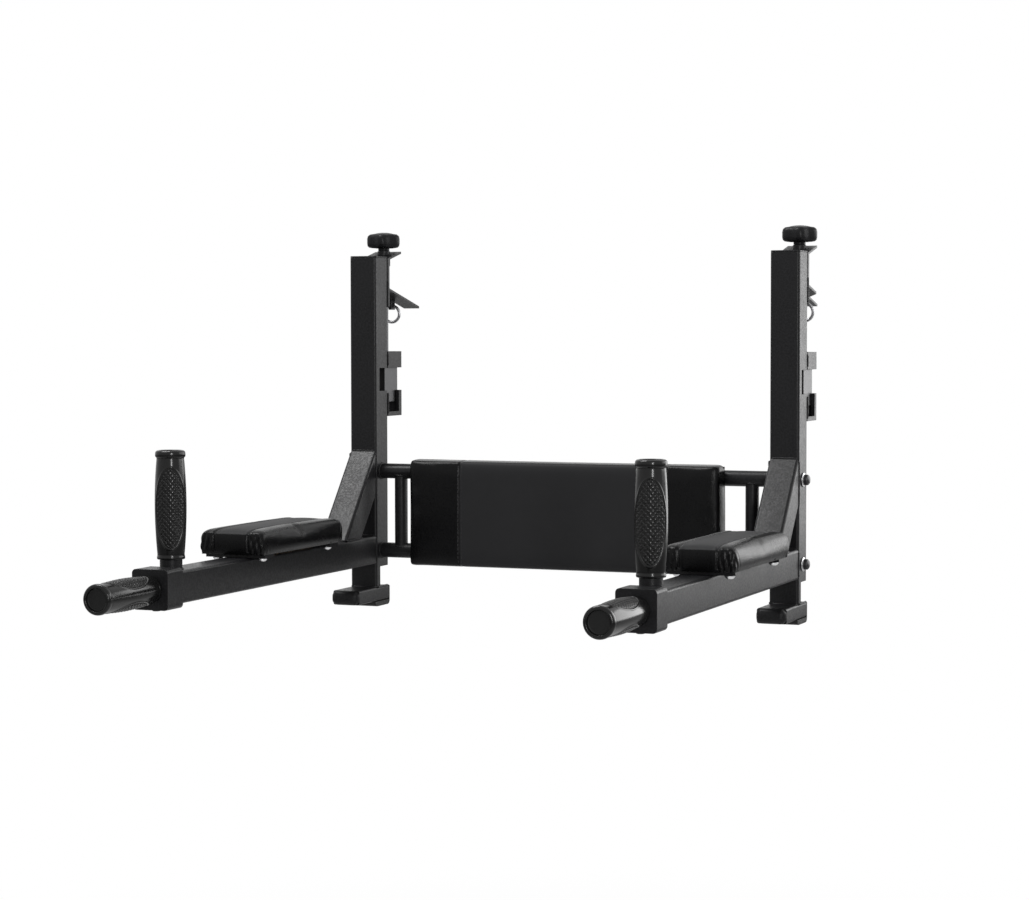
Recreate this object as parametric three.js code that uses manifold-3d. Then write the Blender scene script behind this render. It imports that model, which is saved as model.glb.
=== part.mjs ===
// A dip station that hangs on the round rungs of wall bars. Millimetres, +Z up.
// +X is to the right of someone who faces the wall, and +Y points at the wall.
// The origin is on the axis of the upper rung, midway between the two uprights.
import * as THREE from "three";
import { mergeVertices } from "three/addons/utils/BufferGeometryUtils.js";
import Module from "manifold-3d";

const wasm = await Module();
wasm.setup();

// Fits shared by all pieces
const weldGap = 0.3;
const slideGap = 0.5;
const overrun = 5;

// The two rungs that the uprights sit on
const rung = { diameter: 27, clearance: 0.5, pitch: 278, drop: 4 };

// Square tube of the uprights, braces and arms
const frameTube = { width: 40, wall: 3, corner: 4 };
const uprightSpacing = 608;
const uprightTop = 170;
const topCap = { thickness: 2, edge: 1, plugDepth: 14, plugWall: 2.5 };

// Flat feet that point to the front, each with a rubber shoe under its upright
const foot = { height: 20, wall: 2, corner: 3, reach: 64 };
const footCap = { thickness: 8, edge: 7, plugDepth: 12, plugWall: 2.5 };
const shoe = { sole: 7, heel: 3, round: 6, front: 4, plugDepth: 16 };

// Arms, their braces and the sleeves at their ends
const arm = { drop: 240, reach: 585 };
const brace = { reach: 98, rise: 119 };
const endBlock = { length: 36, wall: 4, corner: 5, plate: 4 };

// Handles: a round tube in a moulded rubber grip
const handleTube = { diameter: 27, wall: 2.5, insertion: 30, setBack: 14.5 };
const grip = {
  rootDiameter: 33,
  waistDiameter: 38,
  neckDiameter: 33.5,
  flangeDiameter: 36.5,
  flangeLength: 9,
  flangeRound: 3,
  endWall: 5,
};
const forwardGripLength = 120;
const uprightGripLength = 131;
const uprightGripStandOff = 8;

// Armrests: upholstered boards bolted to straps across the arms. The rear share is the part
// of the arm's free length that stays open between an armrest and the brace.
const armrest = {
  width: 92,
  length: 233,
  thickness: 31,
  outward: 4,
  rearShare: 0.26,
  crown: 4,
  drawIn: 2.5,
  seamInset: 22,
};
const strap = { thickness: 4, width: 25, margin: 4, inset: 25 };
const padBolt = {
  headShare: 0.72,
  headHeight: 5,
  crown: 3,
  crownShare: 0.65,
  shank: 6,
  length: 14,
  placeShare: 0.42,
};
const cushion = { board: 12, rim: 6, roll: 7, seamDepth: 1.6, seamWidth: 3 };

// Backrest and the round tubes that carry it
const crossTube = { diameter: 21, wall: 2.5, plug: 16, upperDrop: 130, lowerDrop: 241 };
const post = { diameter: 18, wall: 2, inset: 49 };
const backrest = {
  width: 446,
  length: 147,
  thickness: 31,
  topDrop: 111.5,
  crown: 3,
  drawIn: 2,
  seamInset: 75,
};
const frameBolt = { head: 14, headHeight: 7.5, washer: 19, washerHeight: 1.6, shank: 8, edge: 2.5 };

// Claw bracket behind the top of each upright: a plate with two splayed flanges
const claw = {
  plate: 6,
  flange: 3,
  splay: 13.5,
  bottom: 100,
  upperRoot: 167.5,
  upperDepth: 45,
  lowerRoot: 127,
  lowerDepth: 107,
  tipWidth: 24,
  taperStart: 42,
  taperEnd: 60,
};
const bush = { diameter: 18, length: 21, proud: 0.3 };
const lug = { width: 13, thickness: 4, setBack: 56, holeHeight: 102.5, hole: 7, rim: 3 };
const ring = { diameter: 28, wire: 4.5 };

// Guides, the latch that slides in them, its rod and the lobed knob
const guide = { depth: 48, wall: 5, corner: 4, upperHeight: 23, lowerHeight: 36, post: 12, sill: 6 };
const latch = { above: 26, below: 34, edge: 3 };
const rod = { diameter: 12, setBack: 30, intoLatch: 20, intoKnob: 20 };
const knob = {
  diameter: 48,
  height: 22,
  hub: 16,
  hubHeight: 4,
  lobes: 5,
  lobeDepth: 5,
  base: 34,
  flare: 6,
  shoulder: 9,
  crown: 30,
  dome: 2,
};

// Facets
const cornerSteps = 2;
const roundSteps = 24;
const smallSteps = 12;
const washerSteps = 16;
const wireSteps = 8;
const smallDiameter = 15;
const gripSteps = 32;
const barrelSteps = 7;
const lobeSteps = 6;
const sectionSteps = 3;

// Places worked out from the sizes above
const seatRadius = rung.diameter / 2 + rung.clearance;
const rearFace = seatRadius;
const frontFace = rearFace - frameTube.width;
const uprightY = (rearFace + frontFace) / 2;
const uprightX = uprightSpacing / 2;
const uprightBottom = -rung.pitch - seatRadius;
const seatFloor = -seatRadius - rung.drop;
const tubeTop = uprightTop - topCap.thickness - weldGap;
const footTop = uprightBottom - weldGap;
const footMiddle = footTop - foot.height / 2;
const footFront = frontFace - foot.reach + footCap.thickness + weldGap;
const armTop = -arm.drop + frameTube.width / 2;
const armRear = frontFace - weldGap;
const blockSide = frameTube.width + 2 * (weldGap + endBlock.wall);
const blockFront = frontFace - arm.reach;
const blockRear = blockFront + endBlock.length;
const blockTop = -arm.drop + blockSide / 2;
const armFront = blockFront + endBlock.plate + weldGap;
const uprightHandleY = blockRear + handleTube.setBack;
const handleRear = uprightHandleY + grip.waistDiameter / 2;
const braceFoot = frontFace - brace.reach;
const armRoom = braceFoot - handleRear - armrest.length;
const padFront = handleRear + armRoom * (1 - armrest.rearShare);
const strapPlaces = [padFront + strap.inset, padFront + armrest.length - strap.inset];
const strapHalf = armrest.width / 2 - strap.margin;
const strapRoot = frameTube.width / 2 + armrest.outward;
const strapLand = strapHalf - strapRoot;
const padBoltSpread = strapRoot + strapLand * padBolt.placeShare;
const padBoltHead = strapLand * padBolt.headShare;
const padBase = armTop + strap.thickness + weldGap;
const crossLength = uprightSpacing - frameTube.width - 2 * weldGap;
const crossDrops = [crossTube.upperDrop, crossTube.lowerDrop];
const levels = ["upper", "lower"];
const backrestRear = uprightY - crossTube.diameter / 2 - weldGap;
const bracketFace = rearFace + weldGap;
const rodY = bracketFace + rod.setBack;
const splayRise = Math.tan(THREE.MathUtils.degToRad(claw.splay));
const upperFlangeTop = (depth) => claw.upperRoot + depth * splayRise;
const lowerFlangeTop = (depth) => claw.lowerRoot - depth * splayRise;
const bushTop = upperFlangeTop(claw.upperDepth) + bush.proud;
const knobBase = bushTop + weldGap;

// Colours and finishes
const finishes = {
  blackPaint: { color: 0x1b1b1d, roughness: 0.6, metalness: 0.3 },
  plastic: { color: 0x131314, roughness: 0.5, metalness: 0 },
  rubber: { color: 0x151515, roughness: 0.85, metalness: 0 },
  leather: { color: 0x19191b, roughness: 0.5, metalness: 0 },
  wood: { color: 0xb48a5a, roughness: 0.8, metalness: 0 },
  steel: { color: 0xb9bcc0, roughness: 0.3, metalness: 0.9 },
  darkSteel: { color: 0x2b2c2e, roughness: 0.5, metalness: 0.7 },
};

function named(name, finish, geometry) {
  const mesh = new THREE.Mesh(geometry, new THREE.MeshStandardMaterial(finishes[finish]));
  mesh.name = name;
  return mesh;
}

// Solids for joining and cutting
function solid(geometry) {
  const bare = new THREE.BufferGeometry();
  bare.setAttribute("position", geometry.getAttribute("position"));
  bare.setIndex(geometry.getIndex());
  const merged = mergeVertices(bare, 1e-4);
  return new wasm.Manifold(
    new wasm.Mesh({
      numProp: 3,
      vertProperties: new Float32Array(merged.getAttribute("position").array),
      triVerts: new Uint32Array(merged.getIndex().array),
    }),
  );
}

function geometryOf(made) {
  const raw = made.getMesh();
  const geometry = new THREE.BufferGeometry();
  geometry.setAttribute("position", new THREE.BufferAttribute(raw.vertProperties, 3));
  geometry.setIndex(new THREE.BufferAttribute(raw.triVerts, 1));
  return geometry;
}

function cut(geometry, tools) {
  return geometryOf(tools.reduce((made, tool) => made.subtract(solid(tool)), solid(geometry)));
}

function join(geometry, others) {
  return geometryOf(others.reduce((made, other) => made.add(solid(other)), solid(geometry)));
}

// A box given by its lowest and highest corners
function box(low, high) {
  const size = high.map((value, axis) => value - low[axis]);
  const middle = high.map((value, axis) => (value + low[axis]) / 2);
  return new THREE.BoxGeometry(...size).translate(...middle);
}

function roundedOutline(width, height, corner) {
  const shape = new THREE.Shape();
  const right = width / 2 - corner;
  const top = height / 2 - corner;
  shape.absarc(right, top, corner, 0, Math.PI / 2);
  shape.absarc(-right, top, corner, Math.PI / 2, Math.PI);
  shape.absarc(-right, -top, corner, Math.PI, Math.PI * 1.5);
  shape.absarc(right, -top, corner, Math.PI * 1.5, Math.PI * 2);
  return shape;
}

function extrude(shape, depth) {
  return new THREE.ExtrudeGeometry(shape, { depth, bevelEnabled: false, curveSegments: cornerSteps });
}

// Rounded rectangular bar from z = 0 up, hollow where a wall is given
function bar(width, height, corner, length, wall = 0) {
  const shape = roundedOutline(width, height, corner);
  const innerCorner = Math.max(corner - wall, corner / 4);
  if (wall) shape.holes.push(roundedOutline(width - 2 * wall, height - 2 * wall, innerCorner));
  return extrude(shape, length);
}

const stepsFor = (diameter) => (diameter < smallDiameter ? smallSteps : roundSteps);

// A closed profile of [radius, z] points turned about the z axis
function turned(points, steps = roundSteps) {
  const profile = points.map(([radius, z]) => new THREE.Vector2(radius, z));
  return new THREE.LatheGeometry(profile, steps).rotateX(Math.PI / 2);
}

function pin(diameter, length) {
  return new THREE.CylinderGeometry(diameter / 2, diameter / 2, length, stepsFor(diameter))
    .rotateX(Math.PI / 2)
    .translate(0, 0, length / 2);
}

function pipe(diameter, wall, length) {
  const outer = diameter / 2;
  const inner = outer - wall;
  return turned([
    [inner, 0],
    [outer, 0],
    [outer, length],
    [inner, length],
    [inner, 0],
  ]);
}

// Turns what was made along +z so that it points to the front or to the right
const toFront = (geometry) => geometry.rotateX(Math.PI / 2);
const toRight = (geometry) => geometry.rotateY(Math.PI / 2);

// An outline of [depth, height] points made as wide as asked, centred on x = 0
function sideProfile(shape, width) {
  const basis = new THREE.Matrix4().makeBasis(
    new THREE.Vector3(0, 1, 0),
    new THREE.Vector3(0, 0, 1),
    new THREE.Vector3(1, 0, 0),
  );
  return extrude(shape, width).translate(0, 0, -width / 2).applyMatrix4(basis);
}

// A moulded end cap: a flange with rounded edges and a hollow plug that fits the tube
function endCap(width, height, corner, tubeWall, cap) {
  const outline = roundedOutline(
    width - 2 * cap.edge,
    height - 2 * cap.edge,
    Math.max(corner - cap.edge, corner / 4),
  );
  const flange = new THREE.ExtrudeGeometry(outline, {
    depth: cap.thickness - cap.edge,
    bevelThickness: cap.edge,
    bevelSize: cap.edge,
    bevelSegments: cornerSteps + 1,
    curveSegments: cornerSteps,
  });
  const below = box([-width, -height, -cap.thickness], [width, height, 0]);
  const margin = 2 * (tubeWall + weldGap);
  const plug = bar(
    width - margin,
    height - margin,
    corner / 2,
    cap.plugDepth + cap.thickness / 2,
    cap.plugWall,
  );
  return join(cut(flange, [below]), [plug.translate(0, 0, -cap.plugDepth)]);
}

// Upright: seats for two rungs cut into its rear, and holes for the frame bolts
function upright() {
  const half = frameTube.width / 2 + overrun;
  const tube = bar(
    frameTube.width,
    frameTube.width,
    frameTube.corner,
    tubeTop - uprightBottom,
    frameTube.wall,
  ).translate(0, uprightY, uprightBottom);
  const upperSeat = box([-half, -seatRadius, seatFloor], [half, half, seatRadius]);
  const lowerSeat = box(
    [-half, -seatRadius, uprightBottom - overrun],
    [half, half, seatRadius - rung.pitch],
  );
  const boltHoles = crossDrops.map((drop) =>
    toRight(pin(frameBolt.shank + 2 * weldGap, 2 * half)).translate(-half, uprightY, -drop),
  );
  return cut(tube, [upperSeat, lowerSeat, ...boltHoles]);
}

function footBar() {
  return toFront(bar(frameTube.width, foot.height, foot.corner, rearFace - footFront, foot.wall));
}

// Rubber shoe: a sole under the foot, a heel over its open end and a plug inside it
function footShoe() {
  const soleTop = -foot.height - weldGap;
  const soleBottom = -foot.height - shoe.sole;
  const soleFront = -frameTube.width - shoe.front;
  const toe = soleTop - soleBottom;
  const heelRound = shoe.heel - weldGap;
  const outline = new THREE.Shape();
  outline.moveTo(soleFront, soleTop);
  outline.absarc(soleFront + toe, soleTop, toe, Math.PI, Math.PI * 1.5);
  outline.absarc(shoe.heel - shoe.round, soleBottom + shoe.round, shoe.round, -Math.PI / 2, 0);
  outline.absarc(weldGap, -heelRound, heelRound, 0, Math.PI / 2);
  outline.lineTo(weldGap, soleTop);
  const margin = 2 * (foot.wall + weldGap);
  const plug = bar(
    frameTube.width - margin,
    foot.height - margin,
    foot.corner / 2,
    shoe.plugDepth + shoe.heel / 2,
  );
  return join(sideProfile(outline, frameTube.width), [
    toFront(plug).translate(0, shoe.heel / 2, -foot.height / 2),
  ]);
}

// Brace: laid on its slope, then cut off square to the upright and to the arm
function braceTube() {
  const slope = Math.atan2(brace.rise, brace.reach);
  const spare = 2 * frameTube.width;
  const length = Math.hypot(brace.rise, brace.reach) + 2 * spare;
  const tube = toFront(
    bar(frameTube.width, frameTube.width, frameTube.corner, length, frameTube.wall),
  )
    .translate(0, spare, -frameTube.width / 2)
    .rotateX(slope);
  const far = length + brace.rise;
  const pastUpright = box([-far, -weldGap, -far], [far, far, far]);
  const pastArm = box([-far, -far, -far], [far, far, weldGap - brace.rise]);
  return cut(tube, [pastUpright, pastArm]);
}

// Bolts of an armrest, as [x, y] places in the frame of the arm's side
function padBoltPlaces(side) {
  const middle = side * armrest.outward;
  return strapPlaces.flatMap((y) => [
    [middle - padBoltSpread, y],
    [middle + padBoltSpread, y],
  ]);
}

// Arm: square tube with two straps welded across it and a hole for the upright handle
function armTube(side) {
  const middle = side * armrest.outward;
  const tube = toFront(
    bar(frameTube.width, frameTube.width, frameTube.corner, armRear - armFront, frameTube.wall),
  ).translate(0, armRear, -arm.drop);
  const straps = strapPlaces.map((y) =>
    box(
      [middle - strapHalf, y - strap.width / 2, armTop - weldGap],
      [middle + strapHalf, y + strap.width / 2, armTop + strap.thickness],
    ),
  );
  const boltHoles = padBoltPlaces(side).map(([x, y]) =>
    pin(padBolt.shank + 2 * weldGap, strap.thickness + 2 * overrun).translate(x, y, armTop - overrun),
  );
  const handleHole = pin(handleTube.diameter + 2 * weldGap, frameTube.width).translate(
    0,
    uprightHandleY,
    -arm.drop,
  );
  return cut(join(tube, straps), [handleHole, ...boltHoles]);
}

// Sleeve over the arm's end, closed by a plate that holds the forward handle
function armEndBlock() {
  const inside = frameTube.width + 2 * weldGap;
  const outer = toFront(bar(blockSide, blockSide, endBlock.corner, endBlock.length));
  const inner = toFront(
    bar(inside, inside, frameTube.corner, endBlock.length - endBlock.plate + overrun),
  ).translate(0, overrun, 0);
  const hole = toFront(pin(handleTube.diameter + 2 * weldGap, 2 * endBlock.length));
  return cut(outer, [inner, hole]);
}

function handlePipe(length) {
  return pipe(handleTube.diameter, handleTube.wall, length);
}

// Moulded grip from its root at z = 0 to its closed end: a barrel and an end flange
function rubberGrip(length) {
  const bore = handleTube.diameter / 2 + weldGap;
  const barrelLength = length - grip.flangeLength;
  const barrel = Array.from({ length: barrelSteps + 1 }, (_, step) => {
    const share = step / barrelSteps;
    const straight = THREE.MathUtils.lerp(grip.rootDiameter, grip.neckDiameter, share);
    const swell = grip.waistDiameter - (grip.rootDiameter + grip.neckDiameter) / 2;
    return [(straight + swell * Math.sin(Math.PI * share)) / 2, barrelLength * share];
  });
  const flange = grip.flangeDiameter / 2;
  const round = grip.flangeRound;
  return turned(
    [
      [0, length - grip.endWall],
      [bore, length - grip.endWall],
      [bore, 0],
      ...barrel,
      [flange, barrelLength + round / 2],
      [flange, length - round],
      [flange - round / 3, length - round / 3],
      [flange - round, length],
      [0, length],
    ],
    gripSteps,
  );
}

// Grid lines across a cushion: from the middle to a seam, over it, and round the edge
function gridPlaces(half, seam) {
  const roll = cushion.roll;
  const flat = half - roll;
  const shares = seam ? [0.4, 0.75] : [0.3, 0.6, 0.85];
  const inner = seam ? seam - cushion.seamWidth : flat;
  const places = [0, ...shares.map((share) => share * inner)];
  if (seam) {
    places.push(inner, seam, seam + cushion.seamWidth, (seam + cushion.seamWidth + flat) / 2);
  }
  places.push(flat, half - roll / 3, half);
  return [...places.slice(1).reverse().map((place) => -place), ...places];
}

// Upholstered cushion on z = 0: crowned, sides drawn in, seams sewn across its face
function cushionForm(pad) {
  const halfWidth = pad.width / 2;
  const halfLength = pad.length / 2;
  const seam = halfWidth - pad.seamInset;
  const roll = cushion.roll;
  const across = gridPlaces(halfWidth, seam);
  const along = gridPlaces(halfLength, 0);
  const up = [0, (pad.thickness - roll) / 2, pad.thickness - roll, pad.thickness - roll / 3, pad.thickness];
  const counts = [across, along, up].map((places) => places.length - 1);
  const geometry = new THREE.BoxGeometry(...counts, ...counts);
  const position = geometry.getAttribute("position");
  for (let i = 0; i < position.count; i++) {
    const x = across[Math.round(position.getX(i) + counts[0] / 2)];
    const y = along[Math.round(position.getY(i) + counts[1] / 2)];
    const z = up[Math.round(position.getZ(i) + counts[2] / 2)];
    position.setXYZ(i, ...cushionPoint(pad, seam, x, y, z));
  }
  const depth = cushion.board + weldGap;
  const wide = halfWidth - cushion.rim;
  const long = halfLength - cushion.rim;
  return cut(geometry, [box([-wide, -long, -overrun], [wide, long, depth])]);
}

// Where a point of the plain box goes: rounded edges, sewn seams, waist and crown
function cushionPoint(pad, seam, x, y, z) {
  const halfWidth = pad.width / 2;
  const halfLength = pad.length / 2;
  const roll = cushion.roll;
  const past = [
    Math.max(0, Math.abs(x) - (halfWidth - roll)),
    Math.max(0, Math.abs(y) - (halfLength - roll)),
    Math.max(0, z - (pad.thickness - roll)),
  ];
  const reach = Math.hypot(...past);
  const pull = reach ? 1 - Math.max(...past) / reach : 0;
  let [px, py, pz] = [
    x - Math.sign(x) * past[0] * pull,
    y - Math.sign(y) * past[1] * pull,
    z - past[2] * pull,
  ];
  const u = x / halfWidth;
  const v = y / halfLength;
  const raised = z / pad.thickness;
  pz += pad.crown * (1 - u * u) * (1 - v * v) * raised;
  px -= Math.sign(x) * pad.drawIn * (1 - v * v) * Math.abs(u) * raised;
  py -= Math.sign(y) * pad.drawIn * (1 - u * u) * Math.abs(v) * raised;
  if (Math.abs(Math.abs(x) - seam) < cushion.seamWidth / 2 && z > 0) {
    pz -= z === pad.thickness ? cushion.seamDepth : 0;
    py -= Math.abs(y) === halfLength ? Math.sign(y) * cushion.seamDepth : 0;
  }
  return [px, py, pz];
}

// Plywood board that fills the hollow under a cushion
function padBoard(pad, holes) {
  const wide = pad.width / 2 - cushion.rim - weldGap;
  const long = pad.length / 2 - cushion.rim - weldGap;
  const tools = holes.map(([x, y]) =>
    pin(padBolt.shank + 2 * weldGap, cushion.board + 2 * overrun).translate(x, y, -overrun),
  );
  return cut(box([-wide, -long, 0], [wide, long, cushion.board]), tools);
}

// Round-headed bolt: its head stands on z = 0 and its shank goes down
function buttonBolt() {
  const shank = padBolt.shank / 2;
  const head = padBoltHead / 2;
  return turned(
    [
      [0, -padBolt.length],
      [shank, -padBolt.length],
      [shank, 0],
      [head, 0],
      [head, padBolt.headHeight - padBolt.crown],
      [head * padBolt.crownShare, padBolt.headHeight - padBolt.crown / 4],
      [0, padBolt.headHeight],
    ],
    smallSteps,
  );
}

// Frame bolt with a broad washer face under a domed head
function washerBolt() {
  const shank = frameBolt.shank / 2;
  const head = frameBolt.head / 2;
  const washer = frameBolt.washer / 2;
  const length = frameTube.width + crossTube.plug;
  const top = frameBolt.washerHeight + frameBolt.headHeight;
  return turned(
    [
      [0, -length],
      [shank, -length],
      [shank, 0],
      [washer, 0],
      [washer, frameBolt.washerHeight],
      [head, frameBolt.washerHeight],
      [head, top - frameBolt.edge],
      [head - frameBolt.edge, top - frameBolt.edge / 4],
      [0, top],
    ],
    washerSteps,
  );
}

// Cross tube with a threaded plug in each end
function backTube() {
  const outer = crossTube.diameter / 2;
  const inner = outer - crossTube.wall;
  const hole = frameBolt.shank / 2 + weldGap;
  return turned([
    [hole, 0],
    [outer, 0],
    [outer, crossLength],
    [hole, crossLength],
    [hole, crossLength - crossTube.plug],
    [inner, crossLength - crossTube.plug],
    [inner, crossTube.plug],
    [hole, crossTube.plug],
    [hole, 0],
  ]);
}

// Post between the cross tubes, its ends coped to them
function backPost() {
  const length = crossTube.lowerDrop - crossTube.upperDrop;
  const cope = crossTube.diameter + 2 * weldGap;
  const copes = [0, length].map((z) => toRight(pin(cope, 2 * cope)).translate(-cope, 0, z));
  return cut(pipe(post.diameter, post.wall, length), copes);
}

// Claw bracket: bent plate, guide bush for the rod and a lug for the ring
function clawBracket(side) {
  const flange = claw.flange / Math.cos(THREE.MathUtils.degToRad(claw.splay));
  const outline = new THREE.Shape();
  outline.moveTo(0, claw.bottom);
  outline.lineTo(claw.plate, claw.bottom);
  outline.lineTo(claw.plate, lowerFlangeTop(claw.plate) - flange);
  outline.lineTo(claw.lowerDepth, lowerFlangeTop(claw.lowerDepth) - flange);
  outline.lineTo(claw.lowerDepth, lowerFlangeTop(claw.lowerDepth));
  outline.lineTo(claw.plate, lowerFlangeTop(claw.plate));
  outline.lineTo(claw.plate, upperFlangeTop(claw.plate) - flange);
  outline.lineTo(claw.upperDepth, upperFlangeTop(claw.upperDepth) - flange);
  outline.lineTo(claw.upperDepth, upperFlangeTop(claw.upperDepth));
  outline.lineTo(0, upperFlangeTop(0));
  const plate = sideProfile(outline, frameTube.width);

  const half = frameTube.width / 2;
  const taper = new THREE.Shape();
  taper.moveTo(side * half, claw.taperStart);
  taper.lineTo(side * (half + overrun), claw.taperStart);
  taper.lineTo(side * (half + overrun), claw.lowerDepth + overrun);
  taper.lineTo(-side * (half - claw.tipWidth), claw.lowerDepth + overrun);
  taper.lineTo(-side * (half - claw.tipWidth), claw.taperEnd);
  const corner = extrude(taper, claw.upperRoot);

  const sleeve = pin(bush.diameter, bush.length).translate(0, rod.setBack, bushTop - bush.length);
  const lugBottom = lug.holeHeight - lug.hole / 2 - lug.rim;
  const lugTop = lowerFlangeTop(lug.setBack) - claw.flange / 2;
  const ear = box(
    [-lug.thickness / 2, lug.setBack - lug.width / 2, lugBottom],
    [lug.thickness / 2, lug.setBack + lug.width / 2, lugTop],
  );
  const ringHole = toRight(pin(lug.hole, 2 * lug.thickness)).translate(
    -lug.thickness,
    lug.setBack,
    lug.holeHeight,
  );
  const rodHole = pin(rod.diameter + 2 * weldGap, bushTop).translate(0, rod.setBack, overrun);
  return cut(join(cut(plate, [corner]), [sleeve, ear]), [ringHole, rodHole]);
}

function splitRing() {
  const middle = (ring.diameter - ring.wire) / 2;
  const wire = new THREE.TorusGeometry(middle, ring.wire / 2, wireSteps, roundSteps);
  return wire.rotateX(Math.PI / 2);
}

// Guide: a channel that is open towards the upright
function guideChannel(height) {
  const half = frameTube.width / 2;
  const outline = new THREE.Shape();
  outline.moveTo(-half, 0);
  outline.lineTo(guide.wall - half, 0);
  outline.lineTo(guide.wall - half, guide.depth - guide.wall);
  outline.lineTo(half - guide.wall, guide.depth - guide.wall);
  outline.lineTo(half - guide.wall, 0);
  outline.lineTo(half, 0);
  outline.absarc(half - guide.corner, guide.depth - guide.corner, guide.corner, 0, Math.PI / 2);
  outline.absarc(guide.corner - half, guide.depth - guide.corner, guide.corner, Math.PI / 2, Math.PI);
  return extrude(outline, height);
}

// Lower guide: both cheeks cut back to a rear post and a sill
function lowerGuide() {
  const half = frameTube.width / 2 + overrun;
  const inside = guide.depth - guide.post;
  const window = box([-half, -overrun, guide.sill], [half, inside, guide.lowerHeight + overrun]);
  return cut(guideChannel(guide.lowerHeight), [window]);
}

// Latch: a steel block with a chamfered nose, threaded for the rod
function latchBlock() {
  const front = slideGap;
  const back = guide.depth - guide.wall - slideGap;
  const outline = new THREE.Shape();
  outline.moveTo(front + latch.edge, -latch.below);
  outline.lineTo(back - latch.edge, -latch.below);
  outline.lineTo(back, latch.edge - latch.below);
  outline.lineTo(back, latch.above);
  outline.lineTo(front, latch.above);
  outline.lineTo(front, latch.edge - latch.below);
  const width = frameTube.width - 2 * (guide.wall + slideGap);
  const hole = pin(rod.diameter + 2 * weldGap, rod.intoLatch + overrun).translate(
    0,
    rod.setBack,
    latch.above - rod.intoLatch,
  );
  return cut(sideProfile(outline, width), [hole]);
}

const rodBottom = latch.above - rod.intoLatch + weldGap;
const rodTop = knobBase + rod.intoKnob - weldGap;

// Knob: a domed head whose rim waves in and out in lobes, on a hub that is bored for the rod
function lobedKnob() {
  const rim = knob.diameter / 2;
  const shoulderTop = knob.height - knob.dome;
  const section = new THREE.Path();
  section.moveTo(0, 0);
  section.lineTo(knob.base / 2, 0);
  section.quadraticCurveTo(rim, 0, rim, knob.flare);
  section.lineTo(rim, knob.height - knob.shoulder);
  section.quadraticCurveTo(rim, shoulderTop, knob.crown / 2, shoulderTop);
  section.quadraticCurveTo(knob.crown / 4, knob.height, 0, knob.height);
  const points = section.getPoints(sectionSteps).map(({ x, y }) => [x, y]);
  const head = turned(points, knob.lobes * lobeSteps).translate(0, 0, knob.hubHeight);

  const position = head.getAttribute("position");
  for (let i = 0; i < position.count; i++) {
    const [x, y] = [position.getX(i), position.getY(i)];
    const wave = (1 - Math.cos(knob.lobes * Math.atan2(y, x))) / 2;
    const drawn = 1 - (knob.lobeDepth / rim) * wave;
    position.setXYZ(i, x * drawn, y * drawn, position.getZ(i));
  }
  const hub = pin(knob.hub, knob.hubHeight + knob.flare);
  const bore = pin(rod.diameter + 2 * weldGap, rod.intoKnob + overrun).translate(0, 0, -overrun);
  return cut(join(head, [hub]), [bore]);
}

const station = new THREE.Group();

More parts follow.
